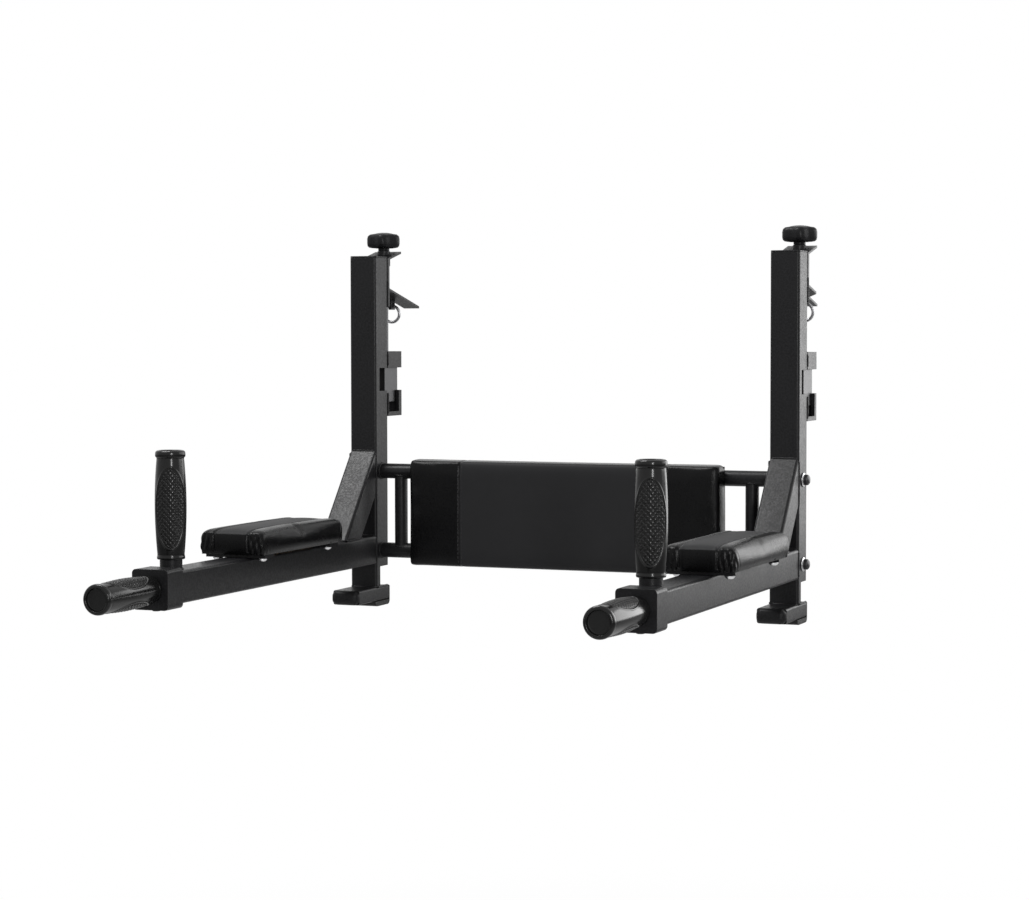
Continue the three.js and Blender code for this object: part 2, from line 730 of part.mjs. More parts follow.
for (const side of [-1, 1]) {
  const tag = side < 0 ? "left" : "right";
  const group = new THREE.Group();
  group.position.x = side * uprightX;
  station.add(group);

  const place = (piece, finish, geometry, x, y, z) => {
    const mesh = named(`${piece}_${tag}`, finish, geometry);
    mesh.position.set(x, y, z);
    group.add(mesh);
  };

  place("upright", "blackPaint", upright(), 0, 0, 0);
  const cap = endCap(frameTube.width, frameTube.width, frameTube.corner, frameTube.wall, topCap);
  place("upright_cap", "plastic", cap, 0, uprightY, tubeTop + weldGap);

  place("foot", "blackPaint", footBar(), 0, rearFace, footMiddle);
  const toe = toFront(endCap(frameTube.width, foot.height, foot.corner, foot.wall, footCap));
  place("foot_cap", "plastic", toe, 0, footFront - weldGap, footMiddle);
  place("foot_shoe", "rubber", footShoe(), 0, rearFace, footTop);

  place("brace", "blackPaint", braceTube(), 0, frontFace, armTop + brace.rise);
  place("arm", "blackPaint", armTube(side), 0, 0, 0);
  place("arm_end_block", "blackPaint", armEndBlock(), 0, blockRear, -arm.drop);

  const forwardTube = toFront(
    handlePipe(handleTube.insertion + forwardGripLength - grip.endWall),
  );
  const insertedTo = blockFront + handleTube.insertion;
  place("forward_handle_tube", "blackPaint", forwardTube, 0, insertedTo, -arm.drop);
  const forwardGrip = toFront(rubberGrip(forwardGripLength));
  place("forward_grip", "rubber", forwardGrip, 0, blockFront - weldGap, -arm.drop);

  const handleFoot = armTop - frameTube.width + frameTube.wall + weldGap;
  const gripBase = blockTop + uprightGripStandOff;
  const uprightTubeTop = gripBase + uprightGripLength - grip.endWall - weldGap;
  const uprightTube = handlePipe(uprightTubeTop - handleFoot);
  place("upright_handle_tube", "blackPaint", uprightTube, 0, uprightHandleY, handleFoot);
  place("upright_grip", "rubber", rubberGrip(uprightGripLength), 0, uprightHandleY, gripBase);

  const padX = side * armrest.outward;
  const padY = padFront + armrest.length / 2;
  const holes = padBoltPlaces(side).map(([x, y]) => [x - padX, y - padY]);
  place("armrest_board", "wood", padBoard(armrest, holes), padX, padY, padBase);
  place("armrest_pad", "leather", cushionForm(armrest), padX, padY, padBase);
  padBoltPlaces(side).forEach(([x, y], index) => {
    const bolt = buttonBolt().rotateX(Math.PI);
    place(`armrest_bolt_${index + 1}`, "steel", bolt, x, y, armTop - 2 * weldGap);
  });

  crossDrops.forEach((drop, index) => {
    const bolt = washerBolt().rotateY((side * Math.PI) / 2);
    const x = side * (frameTube.width / 2 + weldGap);
    place(`frame_bolt_${levels[index]}`, "steel", bolt, x, uprightY, -drop);
  });

  place("claw_bracket", "blackPaint", clawBracket(side), 0, bracketFace, 0);
  const ringTop = lug.holeHeight - (lug.hole - ring.wire) / 2 + slideGap;
  const ringMiddle = ringTop - (ring.diameter - ring.wire) / 2;
  place("pull_ring", "steel", splitRing(), 0, bracketFace + lug.setBack, ringMiddle);
  place("guide_upper", "blackPaint", guideChannel(guide.upperHeight), 0, bracketFace, seatRadius);
  place("guide_lower", "blackPaint", lowerGuide(), 0, bracketFace, seatFloor - guide.lowerHeight);
  place("latch", "darkSteel", latchBlock(), 0, bracketFace, 0);
  place("latch_rod", "darkSteel", pin(rod.diameter, rodTop - rodBottom), 0, rodY, rodBottom);
  place("knob", "plastic", lobedKnob(), 0, rodY, knobBase);
}

crossDrops.forEach((drop, index) => {
  const tube = named(`cross_tube_${levels[index]}`, "blackPaint", toRight(backTube()));
  tube.position.set(-crossLength / 2, uprightY, -drop);
  station.add(tube);
});

for (const side of [-1, 1]) {
  const tag = side < 0 ? "left" : "right";
  const stay = named(`back_post_${tag}`, "blackPaint", backPost());
  stay.position.set(side * (uprightX - post.inset), uprightY, -crossTube.lowerDrop);
  station.add(stay);
}

const backrestMiddle = -backrest.topDrop - backrest.length / 2;
const backrestBoard = named("backrest_board", "wood", toFront(padBoard(backrest, [])));
backrestBoard.position.set(0, backrestRear, backrestMiddle);
station.add(backrestBoard);
const backrestPad = named("backrest_pad", "leather", toFront(cushionForm(backrest)));
backrestPad.position.set(0, backrestRear, backrestMiddle);
station.add(backrestPad);

export default station;
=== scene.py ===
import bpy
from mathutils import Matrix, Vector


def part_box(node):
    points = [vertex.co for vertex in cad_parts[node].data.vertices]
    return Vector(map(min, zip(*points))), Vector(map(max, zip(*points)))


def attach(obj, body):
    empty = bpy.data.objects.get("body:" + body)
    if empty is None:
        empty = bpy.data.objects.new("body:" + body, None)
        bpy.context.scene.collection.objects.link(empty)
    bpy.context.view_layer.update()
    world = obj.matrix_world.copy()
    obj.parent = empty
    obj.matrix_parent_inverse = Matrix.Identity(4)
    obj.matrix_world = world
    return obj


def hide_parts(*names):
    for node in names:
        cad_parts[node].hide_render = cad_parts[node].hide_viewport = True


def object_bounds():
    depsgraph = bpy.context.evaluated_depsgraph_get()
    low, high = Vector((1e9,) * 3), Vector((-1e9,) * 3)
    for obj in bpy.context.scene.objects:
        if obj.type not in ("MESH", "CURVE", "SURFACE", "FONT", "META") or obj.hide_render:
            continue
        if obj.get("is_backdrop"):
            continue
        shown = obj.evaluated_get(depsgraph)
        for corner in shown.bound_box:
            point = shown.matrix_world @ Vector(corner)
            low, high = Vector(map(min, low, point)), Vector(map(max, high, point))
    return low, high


bl_info = {
    "name": "Dip Station",
    "version": (1, 0, 0),
    "blender": (4, 5, 0),
    "location": "3D View > Sidebar > Dip Station",
    "description": "Grips, cushions, welds and finishes of a dip station that hangs on wall bars",
    "category": "Object",
}

import contextlib
import functools
import math

import bpy
import numpy as np
from mathutils import Matrix, Vector

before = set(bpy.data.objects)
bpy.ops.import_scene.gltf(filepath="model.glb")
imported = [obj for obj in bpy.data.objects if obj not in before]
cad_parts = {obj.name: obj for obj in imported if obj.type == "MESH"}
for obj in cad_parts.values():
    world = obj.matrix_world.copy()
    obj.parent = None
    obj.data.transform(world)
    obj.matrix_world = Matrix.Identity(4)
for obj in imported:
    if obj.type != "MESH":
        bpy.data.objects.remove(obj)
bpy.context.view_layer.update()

MM = 0.001
SIDES = {"left": -1, "right": 1}
WELD_DISTANCE = 0.01 * MM


class StationSizes(bpy.types.PropertyGroup):
    """Sizes that shape the soft and moulded pieces"""

    edge_width: bpy.props.FloatProperty(
        name="Edge width",
        description="Width of the small rounding on every steel and plastic edge",
        default=0.0007,
        unit="LENGTH",
    )
    grip_relief: bpy.props.FloatProperty(
        name="Grip relief",
        description="Height of the woven pattern on the grips",
        default=0.0014,
        unit="LENGTH",
    )
    grip_panel_depth: bpy.props.FloatProperty(
        name="Grip panel depth",
        description="How deep the oval panels of the grips are sunk",
        default=0.0011,
        unit="LENGTH",
    )
    cushion_swell: bpy.props.FloatProperty(
        name="Cushion swell",
        description="The most that a cushion's cover moves out when it is filled",
        default=0.004,
        unit="LENGTH",
    )
    seam_depth: bpy.props.FloatProperty(
        name="Seam depth",
        description="How deep the sewn seams pull into the cushions",
        default=0.0016,
        unit="LENGTH",
    )
    weld_width: bpy.props.FloatProperty(
        name="Weld width",
        description="Width of the weld beads between the tubes",
        default=0.0034,
        unit="LENGTH",
    )
    stitch_pitch: bpy.props.FloatProperty(
        name="Stitch pitch",
        description="Distance from one stitch to the next",
        default=0.0055,
        unit="LENGTH",
    )


class StationColours(bpy.types.PropertyGroup):
    """Base colours of the finishes"""

    paint: bpy.props.FloatVectorProperty(
        name="Powder coat",
        description="Colour of the painted steel",
        subtype="COLOR",
        size=3,
        default=(0.006, 0.006, 0.0065),
    )
    rubber: bpy.props.FloatVectorProperty(
        name="Rubber",
        description="Colour of the grips and shoes",
        subtype="COLOR",
        size=3,
        default=(0.0045, 0.0045, 0.0045),
    )
    plastic: bpy.props.FloatVectorProperty(
        name="Plastic",
        description="Colour of the caps and knobs",
        subtype="COLOR",
        size=3,
        default=(0.007, 0.007, 0.0075),
    )
    leather: bpy.props.FloatVectorProperty(
        name="Leather",
        description="Colour of the cushion covers",
        subtype="COLOR",
        size=3,
        default=(0.004, 0.004, 0.0043),
    )
    panel: bpy.props.FloatVectorProperty(
        name="Centre panel",
        description="Colour of the smooth middle panel of each cushion",
        subtype="COLOR",
        size=3,
        default=(0.015, 0.015, 0.016),
    )


def sizes():
    return bpy.context.scene.station_sizes


def colours():
    return bpy.context.scene.station_colours


# Modelling helpers


def deselect_all():
    if bpy.context.object and bpy.context.object.mode != "OBJECT":
        bpy.ops.object.mode_set(mode="OBJECT")
    bpy.ops.object.select_all(action="DESELECT")


def activate(obj):
    deselect_all()
    obj.select_set(True)
    bpy.context.view_layer.objects.active = obj


@contextlib.contextmanager
def editing(obj, kind="VERT", facing=None):
    """Edit mode with everything selected, or only the faces whose normal passes a test"""
    activate(obj)
    bpy.ops.object.mode_set(mode="EDIT")
    bpy.ops.mesh.select_mode(type=kind)
    bpy.ops.mesh.select_all(action="DESELECT" if facing else "SELECT")
    if facing:
        bpy.ops.object.mode_set(mode="OBJECT")
        for face in obj.data.polygons:
            face.select = facing(face.normal)
        bpy.ops.object.mode_set(mode="EDIT")
    yield
    bpy.ops.object.mode_set(mode="OBJECT")


def apply_place(obj):
    activate(obj)
    bpy.ops.object.transform_apply(location=True, rotation=True, scale=True)


def add_modifier(obj, kind, **settings):
    modifier = obj.modifiers.new(kind.lower(), kind)
    for key, value in settings.items():
        setattr(modifier, key, value)
    return modifier


def apply_modifier(obj, kind, **settings):
    activate(obj)
    bpy.ops.object.modifier_apply(modifier=add_modifier(obj, kind, **settings).name)


def subdivide(obj, levels):
    apply_modifier(obj, "SUBSURF", levels=levels, render_levels=levels)


def smooth(obj, degrees):
    activate(obj)
    bpy.ops.object.shade_smooth_by_angle(angle=math.radians(degrees))


def join_pieces(pieces):
    activate(pieces[0])
    for piece in pieces:
        piece.select_set(True)
    bpy.ops.object.join()
    return bpy.context.object


def read_points(mesh, what="co"):
    flat = np.empty(len(mesh.vertices) * 3)
    mesh.vertices.foreach_get(what, flat)
    return flat.reshape(-1, 3)


def write_points(mesh, points):
    mesh.vertices.foreach_set("co", points.ravel())
    mesh.update()


def step_up(value, start, end):
    """0 below start, 1 above end, smooth between"""
    share = np.clip((value - start) / (end - start), 0, 1)
    return share * share * (3 - 2 * share)


def hump(distance, width):
    """1 at distance 0, fading to nothing over about twice the width"""
    return np.exp(-((distance / width) ** 2))


def finish_piece(obj, name, material):
    obj.name = name
    obj.data.name = name
    obj.data.materials.clear()
    obj.data.materials.append(material)
    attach(obj, "frame")
    return obj


def box_of(node):
    """Low corner, high corner and middle of a CAD solid"""
    low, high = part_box(node)
    return low, high, (low + high) / 2


# Material helpers


class Nodes:
    """A node tree that is filled from left to right"""

    COLUMN_WIDTH = 220

    def __init__(self, tree):
        self.tree = tree

    def put(self, socket, value):
        """Links a socket to another one, or sets it to a constant"""
        if isinstance(value, bpy.types.NodeSocket):
            self.tree.links.new(value, socket)
        else:
            socket.default_value = value

    def add(self, kind, inputs=(), **settings):
        column = len(self.tree.nodes)
        node = self.tree.nodes.new(kind)
        node.location = (column * self.COLUMN_WIDTH, 0)
        for key, value in settings.items():
            setattr(node, key, value)
        for socket, value in dict(inputs).items():
            self.put(node.inputs[socket], value)
        return node

    @functools.cached_property
    def place(self):
        """The object's own coordinates"""
        return self.add("ShaderNodeTexCoord").outputs["Object"]

    def noise(self, scale, vector=None, **more):
        vector = self.place if vector is None else vector
        inputs = {"Vector": vector, "Scale": scale, **more}
        return self.add("ShaderNodeTexNoise", inputs).outputs[0]

    def math(self, operation, *values, clamp=False):
        inputs = dict(enumerate(values))
        node = self.add("ShaderNodeMath", inputs, operation=operation, use_clamp=clamp)
        return node.outputs[0]

    def between(self, value, start, end):
        """0 below start, 1 above end, smooth between"""
        node = self.add(
            "ShaderNodeMapRange",
            {"Value": value, "From Min": start, "From Max": end},
            interpolation_type="SMOOTHSTEP",
        )
        return node.outputs["Result"]

    def mix(self, factor, first, second):
        inputs = {0: factor, 6: first, 7: second}
        return self.add("ShaderNodeMix", inputs, data_type="RGBA").outputs[2]

    def shades(self, mask, colour, dark, light):
        """A colour times one gain where the mask is 0, and times another where it is 1"""
        return self.mix(mask, rgba(colour, dark), rgba(colour, light))

    def group(self, group, inputs):
        return self.add("ShaderNodeGroup", inputs, node_tree=group).outputs

    def mottle(self, scale, contrast):
        return self.group(mottle_group(), {"Scale": scale, "Contrast": contrast})["Mask"]

    def bump(self, height, strength, distance):
        inputs = {"Height": height, "Strength": strength, "Distance": distance}
        return self.add("ShaderNodeBump", inputs).outputs[0]

    def blend(self, share, first, second):
        """One shader where the share is 0, and another where it is 1"""
        inputs = {0: share, 1: first.outputs[0], 2: second.outputs[0]}
        return self.add("ShaderNodeMixShader", inputs).outputs[0]


def rgba(colour, gain=1.0):
    return (*[min(1.0, channel * gain) for channel in colour], 1.0)


def grey(level, blue=None):
    """A grey, with a trace more blue if that is given"""
    return (level, level, level if blue is None else blue, 1.0)


def node_group(name, inputs, outputs):
    """Turns a function that fills nodes into one that gives the group, built only once"""

    def wrap(fill):
        def get():
            if name in bpy.data.node_groups:
                return bpy.data.node_groups[name]
            group = bpy.data.node_groups.new(name, "ShaderNodeTree")
            sockets = [("INPUT", label) for label in inputs]
            sockets += [("OUTPUT", label) for label in outputs]
            for direction, label in sockets:
                socket = group.interface.new_socket(
                    label, in_out=direction, socket_type="NodeSocketFloat"
                )
                socket.default_value = inputs.get(label, 0.0)
            nodes = Nodes(group)
            results = fill(nodes, nodes.add("NodeGroupInput").outputs)
            nodes.add("NodeGroupOutput", dict(zip(outputs, results)))
            return group

        return get

    return wrap


@node_group("mottle", {"Scale": 20.0, "Contrast": 0.5}, ("Mask",))
def mottle_group(nodes, given):
    """Slow changes of shade over a surface, such as handling marks and dust"""
    noise = nodes.noise(given["Scale"], Detail=4.0, Roughness=0.6)
    spread = nodes.math("MULTIPLY", nodes.math("SUBTRACT", noise, 0.5), given["Contrast"])
    return (nodes.math("ADD", spread, 0.5, clamp=True),)


@node_group("fine grain", {"Scale": 900.0, "Coarse": 0.3}, ("Height", "Speck"))
def grain_group(nodes, given):
    """Fine relief: even pimples of powder coat and moulded plastic"""
    fine = nodes.noise(given["Scale"], Detail=2.0)
    wide = nodes.noise(nodes.math("MULTIPLY", given["Scale"], 0.35), Detail=1.0)
    height = nodes.math("ADD", fine, nodes.math("MULTIPLY", wide, given["Coarse"]))
    return height, nodes.between(wide, 0.35, 0.65)


@node_group("leather grain", {"Scale": 420.0}, ("Height", "Furrow"))
def hide_group(nodes, given):
    """Leather grain: small cells with soft furrows between them"""
    inputs = {"Vector": nodes.place, "Scale": 90.0, "Detail": 2.0}
    warp = nodes.add("ShaderNodeTexNoise", inputs)
    bent = nodes.add(
        "ShaderNodeVectorMath",
        {0: warp.outputs[1], 1: (4 * MM, 4 * MM, 4 * MM), 2: nodes.place},
        operation="MULTIPLY_ADD",
    )
    cells = nodes.add(
        "ShaderNodeTexVoronoi",
        {"Vector": bent.outputs[0], "Scale": given["Scale"]},
        feature="DISTANCE_TO_EDGE",
    )
    furrow = nodes.between(cells.outputs["Distance"], 0.0, 0.22)
    fine = nodes.math("MULTIPLY", nodes.noise(1500.0, Detail=2.0), 0.25)
    return nodes.math("ADD", furrow, fine), furrow


def material(name):
    """Turns a function that gives the shader's values into one that gives the material"""

    def wrap(fill):
        def get(*values, **named):
            label = name.format(*values)
            if label in bpy.data.materials:
                return bpy.data.materials[label]
            made = bpy.data.materials.new(label)
            made.use_nodes = True
            made.node_tree.nodes.clear()
            nodes = Nodes(made.node_tree)
            shader = nodes.add("ShaderNodeBsdfPrincipled")
            nodes.add("ShaderNodeOutputMaterial", {"Surface": shader.outputs[0]})
            for socket, value in fill(nodes, *values, **named).items():
                nodes.put(shader.inputs[socket], value)
            return made

        return get

    return wrap


@material("{}")
def grained(nodes, _name, colour, rough, scale, relief, specular, coarse=0.4):
    """Paint, plastic or rubber: a base colour with mottle, and a fine grain"""
    mask = nodes.mottle(14.0, 1.6)
    slow = nodes.shades(mask, colour, 0.65, 1.35)
    grain = nodes.group(grain_group(), {"Scale": scale, "Coarse": coarse})
    slow_rough = nodes.math("MULTIPLY_ADD", mask, 0.12, rough - 0.06)
    return {
        "Base Color": nodes.mix(grain["Speck"], slow, rgba(colour, 1.8)),
        "Roughness": nodes.math("MULTIPLY_ADD", grain["Speck"], -0.1, slow_rough),
        "Specular IOR Level": specular,
        "Normal": nodes.bump(grain["Height"], 0.6, relief),
    }


def powder_coat():
    look = dict(rough=0.41, scale=1100.0, relief=0.08 * MM, specular=0.16, coarse=1.8)
    return grained("powder coat", colours().paint, **look)


def moulded_plastic():
    look = dict(rough=0.4, scale=1600.0, relief=0.06 * MM, specular=0.1)
    return grained("moulded plastic", colours().plastic, **look)


def shoe_rubber():
    look = dict(rough=0.62, scale=900.0, relief=0.1 * MM, specular=0.2)
    return grained("shoe rubber", colours().rubber, **look)


@material("grip rubber")
def grip_rubber(nodes):
    """Moulded rubber, duller in the hollows of the woven panels, with painted shade that darkens
    those hollows, the groove round each panel and the end recess
    """
    raised = nodes.add("ShaderNodeAttribute", attribute_name="raised").outputs["Fac"]
    worn = nodes.shades(nodes.mottle(26.0, 1.4), colours().rubber, 0.8, 1.5)
    grain = nodes.group(grain_group(), {"Scale": 1400.0, "Coarse": 0.3})
    return {
        # Painted shade: the base colour falls to near black where the raised attribute is low, in
        # the hollows, the grooves and the end recess
        "Base Color": nodes.mix(raised, grey(0.001), worn),
        "Roughness": nodes.math("MULTIPLY_ADD", raised, -0.46, 0.64),
        "Specular IOR Level": 0.24,
        "Normal": nodes.bump(grain["Height"], 0.5, 0.05 * MM),
    }


@material("{}")
def steel(nodes, _name, colour, rough, scratch):
    """Bare or plated steel with fine scratches"""
    inputs = {"Vector": nodes.place, "Scale": (1.0, 1.0, 0.08)}
    stretch = nodes.add("ShaderNodeMapping", inputs).outputs[0]
    lines = nodes.noise(1800.0, stretch, Detail=3.0)
    return {
        "Base Color": nodes.shades(nodes.mottle(60.0, 1.2), colour, 0.85, 1.12),
        "Roughness": nodes.math("MULTIPLY_ADD", lines, scratch, rough),
        "Metallic": 1.0,
        "Normal": nodes.bump(lines, 0.25, 0.03 * MM),
    }


def staple_wire():
    return steel("staple wire", (0.42, 0.42, 0.43), 0.28, 0.1)


@material("bolt steel")
def bolt_steel(nodes):
    """Bright washer face under a blackened head, told apart by the distance from the upright"""
    parts = nodes.add("ShaderNodeSeparateXYZ", {"Vector": nodes.place})
    outward = nodes.math("ABSOLUTE", parts.outputs["X"])
    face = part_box("upright_right")[1].x + 2.1 * MM
    head = nodes.between(outward, face, face + 0.15 * MM)
    mask = nodes.mottle(90.0, 1.0)
    bright = nodes.mix(mask, grey(0.45, 0.46), grey(0.62, 0.63))
    dark = nodes.mix(mask, grey(0.03, 0.032), grey(0.06, 0.062))
    return {
        "Base Color": nodes.mix(head, bright, dark),
        "Roughness": nodes.math("MULTIPLY_ADD", head, 0.12, 0.26),
        "Metallic": 0.95,
    }


@material("raw plywood along {}")
def plywood(nodes, fibre_axis):
    """Raw plywood with its fibres and growth rings drawn out along one axis"""
    squeeze = {"X": (0.12, 1.0, 1.0), "Y": (1.0, 0.12, 1.0)}[fibre_axis]
    inputs = {"Vector": nodes.place, "Scale": squeeze}
    stretch = nodes.add("ShaderNodeMapping", inputs).outputs[0]
    fibre = nodes.noise(320.0, stretch, Detail=5.0, Roughness=0.65)
    waves = nodes.math("SINE", nodes.math("MULTIPLY", nodes.noise(26.0, stretch), 70.0))
    growth = nodes.math("MULTIPLY", nodes.between(waves, 0.2, 0.95), 0.45)
    pale, tan, brown = (0.52, 0.36, 0.20, 1), (0.33, 0.20, 0.10, 1), (0.22, 0.12, 0.055, 1)
    wood = nodes.mix(nodes.between(fibre, 0.35, 0.65), tan, pale)
    return {
        "Base Color": nodes.mix(growth, wood, brown),
        "Roughness": 0.75,
        "Normal": nodes.bump(fibre, 0.4, 0.2 * MM),
    }


@material("cover leather")
def leather(nodes):
    """Glossy artificial leather of the covers"""
    mask = nodes.mottle(30.0, 1.4)
    hide = nodes.group(hide_group(), {"Scale": 700.0})
    cover = nodes.shades(mask, colours().leather, 0.75, 1.3)
    return {
        "Base Color": nodes.mix(hide["Furrow"], rgba(colours().leather, 0.4), cover),
        "Roughness": nodes.math("MULTIPLY_ADD", mask, 0.14, 0.19),
        "Specular IOR Level": 0.11,
        "Normal": nodes.bump(hide["Height"], 0.3, 0.12 * MM),
    }


@material("panel covering")
def panel_cloth(nodes):
    """Smooth, duller covering of the middle panels"""
    nap = nodes.noise(2600.0, Detail=2.0)
    even = nodes.shades(nodes.mottle(22.0, 1.2), colours().panel, 0.85, 1.2)
    return {
        "Base Color": nodes.mix(nap, rgba(colours().panel, 0.7), even),
        "Roughness": nodes.math("MULTIPLY_ADD", nap, 0.1, 0.52),
        "Specular IOR Level": 0.14,
        "Normal": nodes.bump(nap, 0.3, 0.08 * MM),
    }


@material("sewing thread")
def thread(nodes):
    inputs = {"Vector": nodes.place, "Scale": 700.0, "Distortion": 1.0}
    twist = nodes.add("ShaderNodeTexWave", inputs).outputs["Fac"]
    shade = nodes.mix(twist, grey(0.015, 0.016), grey(0.05, 0.052))
    return {"Base Color": shade, "Roughness": 0.6}


@material("pale floor")
def pale_floor(nodes):
    """Keeps the shadow near the part, and fades to plain white for the camera"""
    shader, output = nodes.tree.nodes[:2]
    camera_ray = nodes.add("ShaderNodeLightPath").outputs["Is Camera Ray"]
    glow = nodes.add("ShaderNodeEmission", {"Color": grey(1.0), "Strength": 1.0})
    distance = nodes.add("ShaderNodeVectorMath", {0: nodes.place}, operation="LENGTH")
    far = nodes.between(distance.outputs["Value"], 1.0, 2.6)
    share = nodes.math("MULTIPLY", camera_ray, nodes.math("MULTIPLY_ADD", far, 0.15, 0.85))
    nodes.put(output.inputs["Surface"], nodes.blend(share, shader, glow))
    return {"Base Color": grey(0.82), "Roughness": 0.9}


# Finishes of the carried-over steel, plastic and wooden pieces

PAINTED = (
    "upright foot brace arm arm_end_block forward_handle_tube upright_handle_tube "
    "claw_bracket guide_upper guide_lower"
).split()
BACK_FRAME = ("cross_tube_upper", "cross_tube_lower", "back_post_left", "back_post_right")
PLASTIC = ("upright_cap", "foot_cap", "knob")
BEVEL_ANGLE = math.radians(38)


def dress(node, finish):
    """A CAD node gets its finish and a small rounding on its edges"""
    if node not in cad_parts:
        raise RuntimeError(f"The frame has no node {node}")
    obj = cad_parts[node]
    obj.data.materials.clear()
    obj.data.materials.append(finish)
    for face in obj.data.polygons:
        face.use_smooth = True
    add_modifier(obj, "WELD", merge_threshold=WELD_DISTANCE)
    edge = dict(limit_method="ANGLE", angle_limit=BEVEL_ANGLE, use_clamp_overlap=True)
    add_modifier(obj, "BEVEL", width=sizes().edge_width, segments=2, **edge)
    add_modifier(obj, "WEIGHTED_NORMAL", mode="FACE_AREA", weight=80)


class STATION_OT_steel_frame(bpy.types.Operator):
    """Powder coat on the welded frame"""

    bl_idname = "station.steel_frame"
    bl_label = "Steel frame"

    def execute(self, context):
        for side in SIDES:
            for piece in PAINTED:
                dress(f"{piece}_{side}", powder_coat())
        for node in BACK_FRAME:
            dress(node, powder_coat())
        return {"FINISHED"}


class STATION_OT_fittings(bpy.types.Operator):
    """Rings, latches, rods and bolts in bare or plated steel, and the boards"""

    bl_idname = "station.fittings"
    bl_label = "Fittings"

    def execute(self, context):
        bright = steel("bright steel", (0.62, 0.62, 0.63), 0.18, 0.12)
        plated = steel("plated steel", (0.30, 0.30, 0.31), 0.24, 0.12)
        blackened = steel("blackened steel", (0.06, 0.06, 0.062), 0.34, 0.15)
        for side in SIDES:
            dress(f"pull_ring_{side}", plated)
            dress(f"latch_{side}", blackened)
            dress(f"latch_rod_{side}", blackened)
            for number in range(1, 5):
                dress(f"armrest_bolt_{number}_{side}", bright)
            for level in ("upper", "lower"):
                dress(f"frame_bolt_{level}_{side}", bolt_steel())
            dress(f"armrest_board_{side}", plywood("Y"))
        dress("backrest_board", plywood("X"))
        return {"FINISHED"}


class STATION_OT_plastics(bpy.types.Operator):
    """Caps, knobs and shoes"""

    bl_idname = "station.plastics"
    bl_label = "Caps, knobs and shoes"

    def execute(self, context):
        for side in SIDES:
            for piece in PLASTIC:
                dress(f"{piece}_{side}", moulded_plastic())
            dress(f"foot_shoe_{side}", shoe_rubber())
        return {"FINISHED"}


# Welds and screws

BEAD_SIDES = 8
BEAD_STEP = 0.7 * MM
BEAD_RIPPLE = 2.2 * MM
BEAD_INSET = 3 * MM
CLAW_PLATE_TOP = 40 * MM
SCREW_RADIUS = 5.5 * MM
SCREW_HEIGHT = 2.6 * MM
SCREW_DROP = 1.1 * MM
SCREW_FROM_FRONT = 15 * MM


def rippled(phase):
    """Thickness of a bead along its ripples, as a share of the full thickness"""
    return 0.88 + 0.12 * np.cos(phase)


def weld_bead(start, end):
    """A straight bead: a grid rolled round a line, rippled, and drawn to a point at each end"""
    start, end = Vector(start), Vector(end)
    length = (end - start).length
    thick = sizes().weld_width / 2
    deselect_all()
    bpy.ops.mesh.primitive_grid_add(
        x_subdivisions=round(length / BEAD_STEP), y_subdivisions=BEAD_SIDES, size=1
    )
    rope = bpy.context.object
    points = read_points(rope.data)
    along = (points[:, 0] + 0.5) * length
    turn = (points[:, 1] + 0.5) * 2 * math.pi
    ripple = rippled(2 * math.pi * along / BEAD_RIPPLE + 0.8 * np.cos(turn))
    slow = 1 + 0.08 * np.sin(along * 410) * np.sin(along * 173 + start.x * 90)
    to_end = np.minimum(along, length - along)
    radius = thick * ripple * slow * np.sqrt(np.clip(to_end / thick, 0, 1))
    forward = (end - start).normalized()
    first = forward.orthogonal().normalized()
    second = forward.cross(first)
    rolled = (
        np.array(start)
        + along[:, None] * np.array(forward)
        + (radius * np.cos(turn))[:, None] * np.array(first)
        + (radius * np.sin(turn))[:, None] * np.array(second)
    )
    write_points(rope.data, rolled)
    return rope


def ring_bead(centre, radius, axis):
    """A rippled bead round a tube"""
    count = round(2 * math.pi * radius / BEAD_RIPPLE)
    deselect_all()
    bpy.ops.mesh.primitive_torus_add(
        location=centre,
        rotation={"X": (0, math.pi / 2, 0), "Z": (0, 0, 0)}[axis],
        major_segments=round(2 * math.pi * radius / BEAD_STEP),
        minor_segments=BEAD_SIDES,
        major_radius=radius,
        minor_radius=sizes().weld_width / 2,
    )
    ring = bpy.context.object
    points = read_points(ring.data)
    angle = np.arctan2(points[:, 1], points[:, 0])
    middle = np.stack([np.cos(angle), np.sin(angle), np.zeros(len(angle))], axis=1) * radius
    ripple = rippled(count * angle)[:, None]
    write_points(ring.data, middle + (points - middle) * ripple)
    apply_place(ring)
    return ring


def frame_seams(side):
    """Straight seams of one half, as pairs of ends, from the boxes of the pieces that meet"""
    upright, arm, brace, foot = (
        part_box(f"{piece}_{side}") for piece in ("upright", "arm", "brace", "foot")
    )
    left, right = upright[0].x, upright[1].x
    face, back = upright[0].y, upright[1].y
    width = right - left
    arm_top, arm_low, foot_top = brace[0].z, arm[0].z, foot[1].z
    slant = math.atan2(brace[1].z - brace[0].z, brace[1].y - brace[0].y)
    brace_low = brace[1].z - width / math.cos(slant)
    brace_rear = brace[0].y + width / math.sin(slant)
    inset = BEAD_INSET
    at_face = (brace[1].z, brace_low, arm_top, arm_low, foot_top)
    levels = [(face, z) for z in at_face]
    levels += [(brace[0].y, arm_top), (brace_rear, arm_top)]
    seams = [((left + inset, y, z), (right - inset, y, z)) for y, z in levels]
    for x in (left, right):
        seams += [
            ((x, face, brace[1].z - inset), (x, face, brace_low)),
            ((x, face, arm_top - inset), (x, face, arm_low + inset)),
            ((x, brace[0].y + inset, arm_top), (x, brace_rear, arm_top)),
            ((x, face + inset, foot_top), (x, back - inset, foot_top)),
        ]
        tops = {"guide_upper": 0, "guide_lower": 0, "claw_bracket": CLAW_PLATE_TOP}
        for piece, top in tops.items():
            low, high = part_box(f"{piece}_{side}")
            seams.append(((x, back, low.z + inset), (x, back, high.z - top - inset)))
    return seams


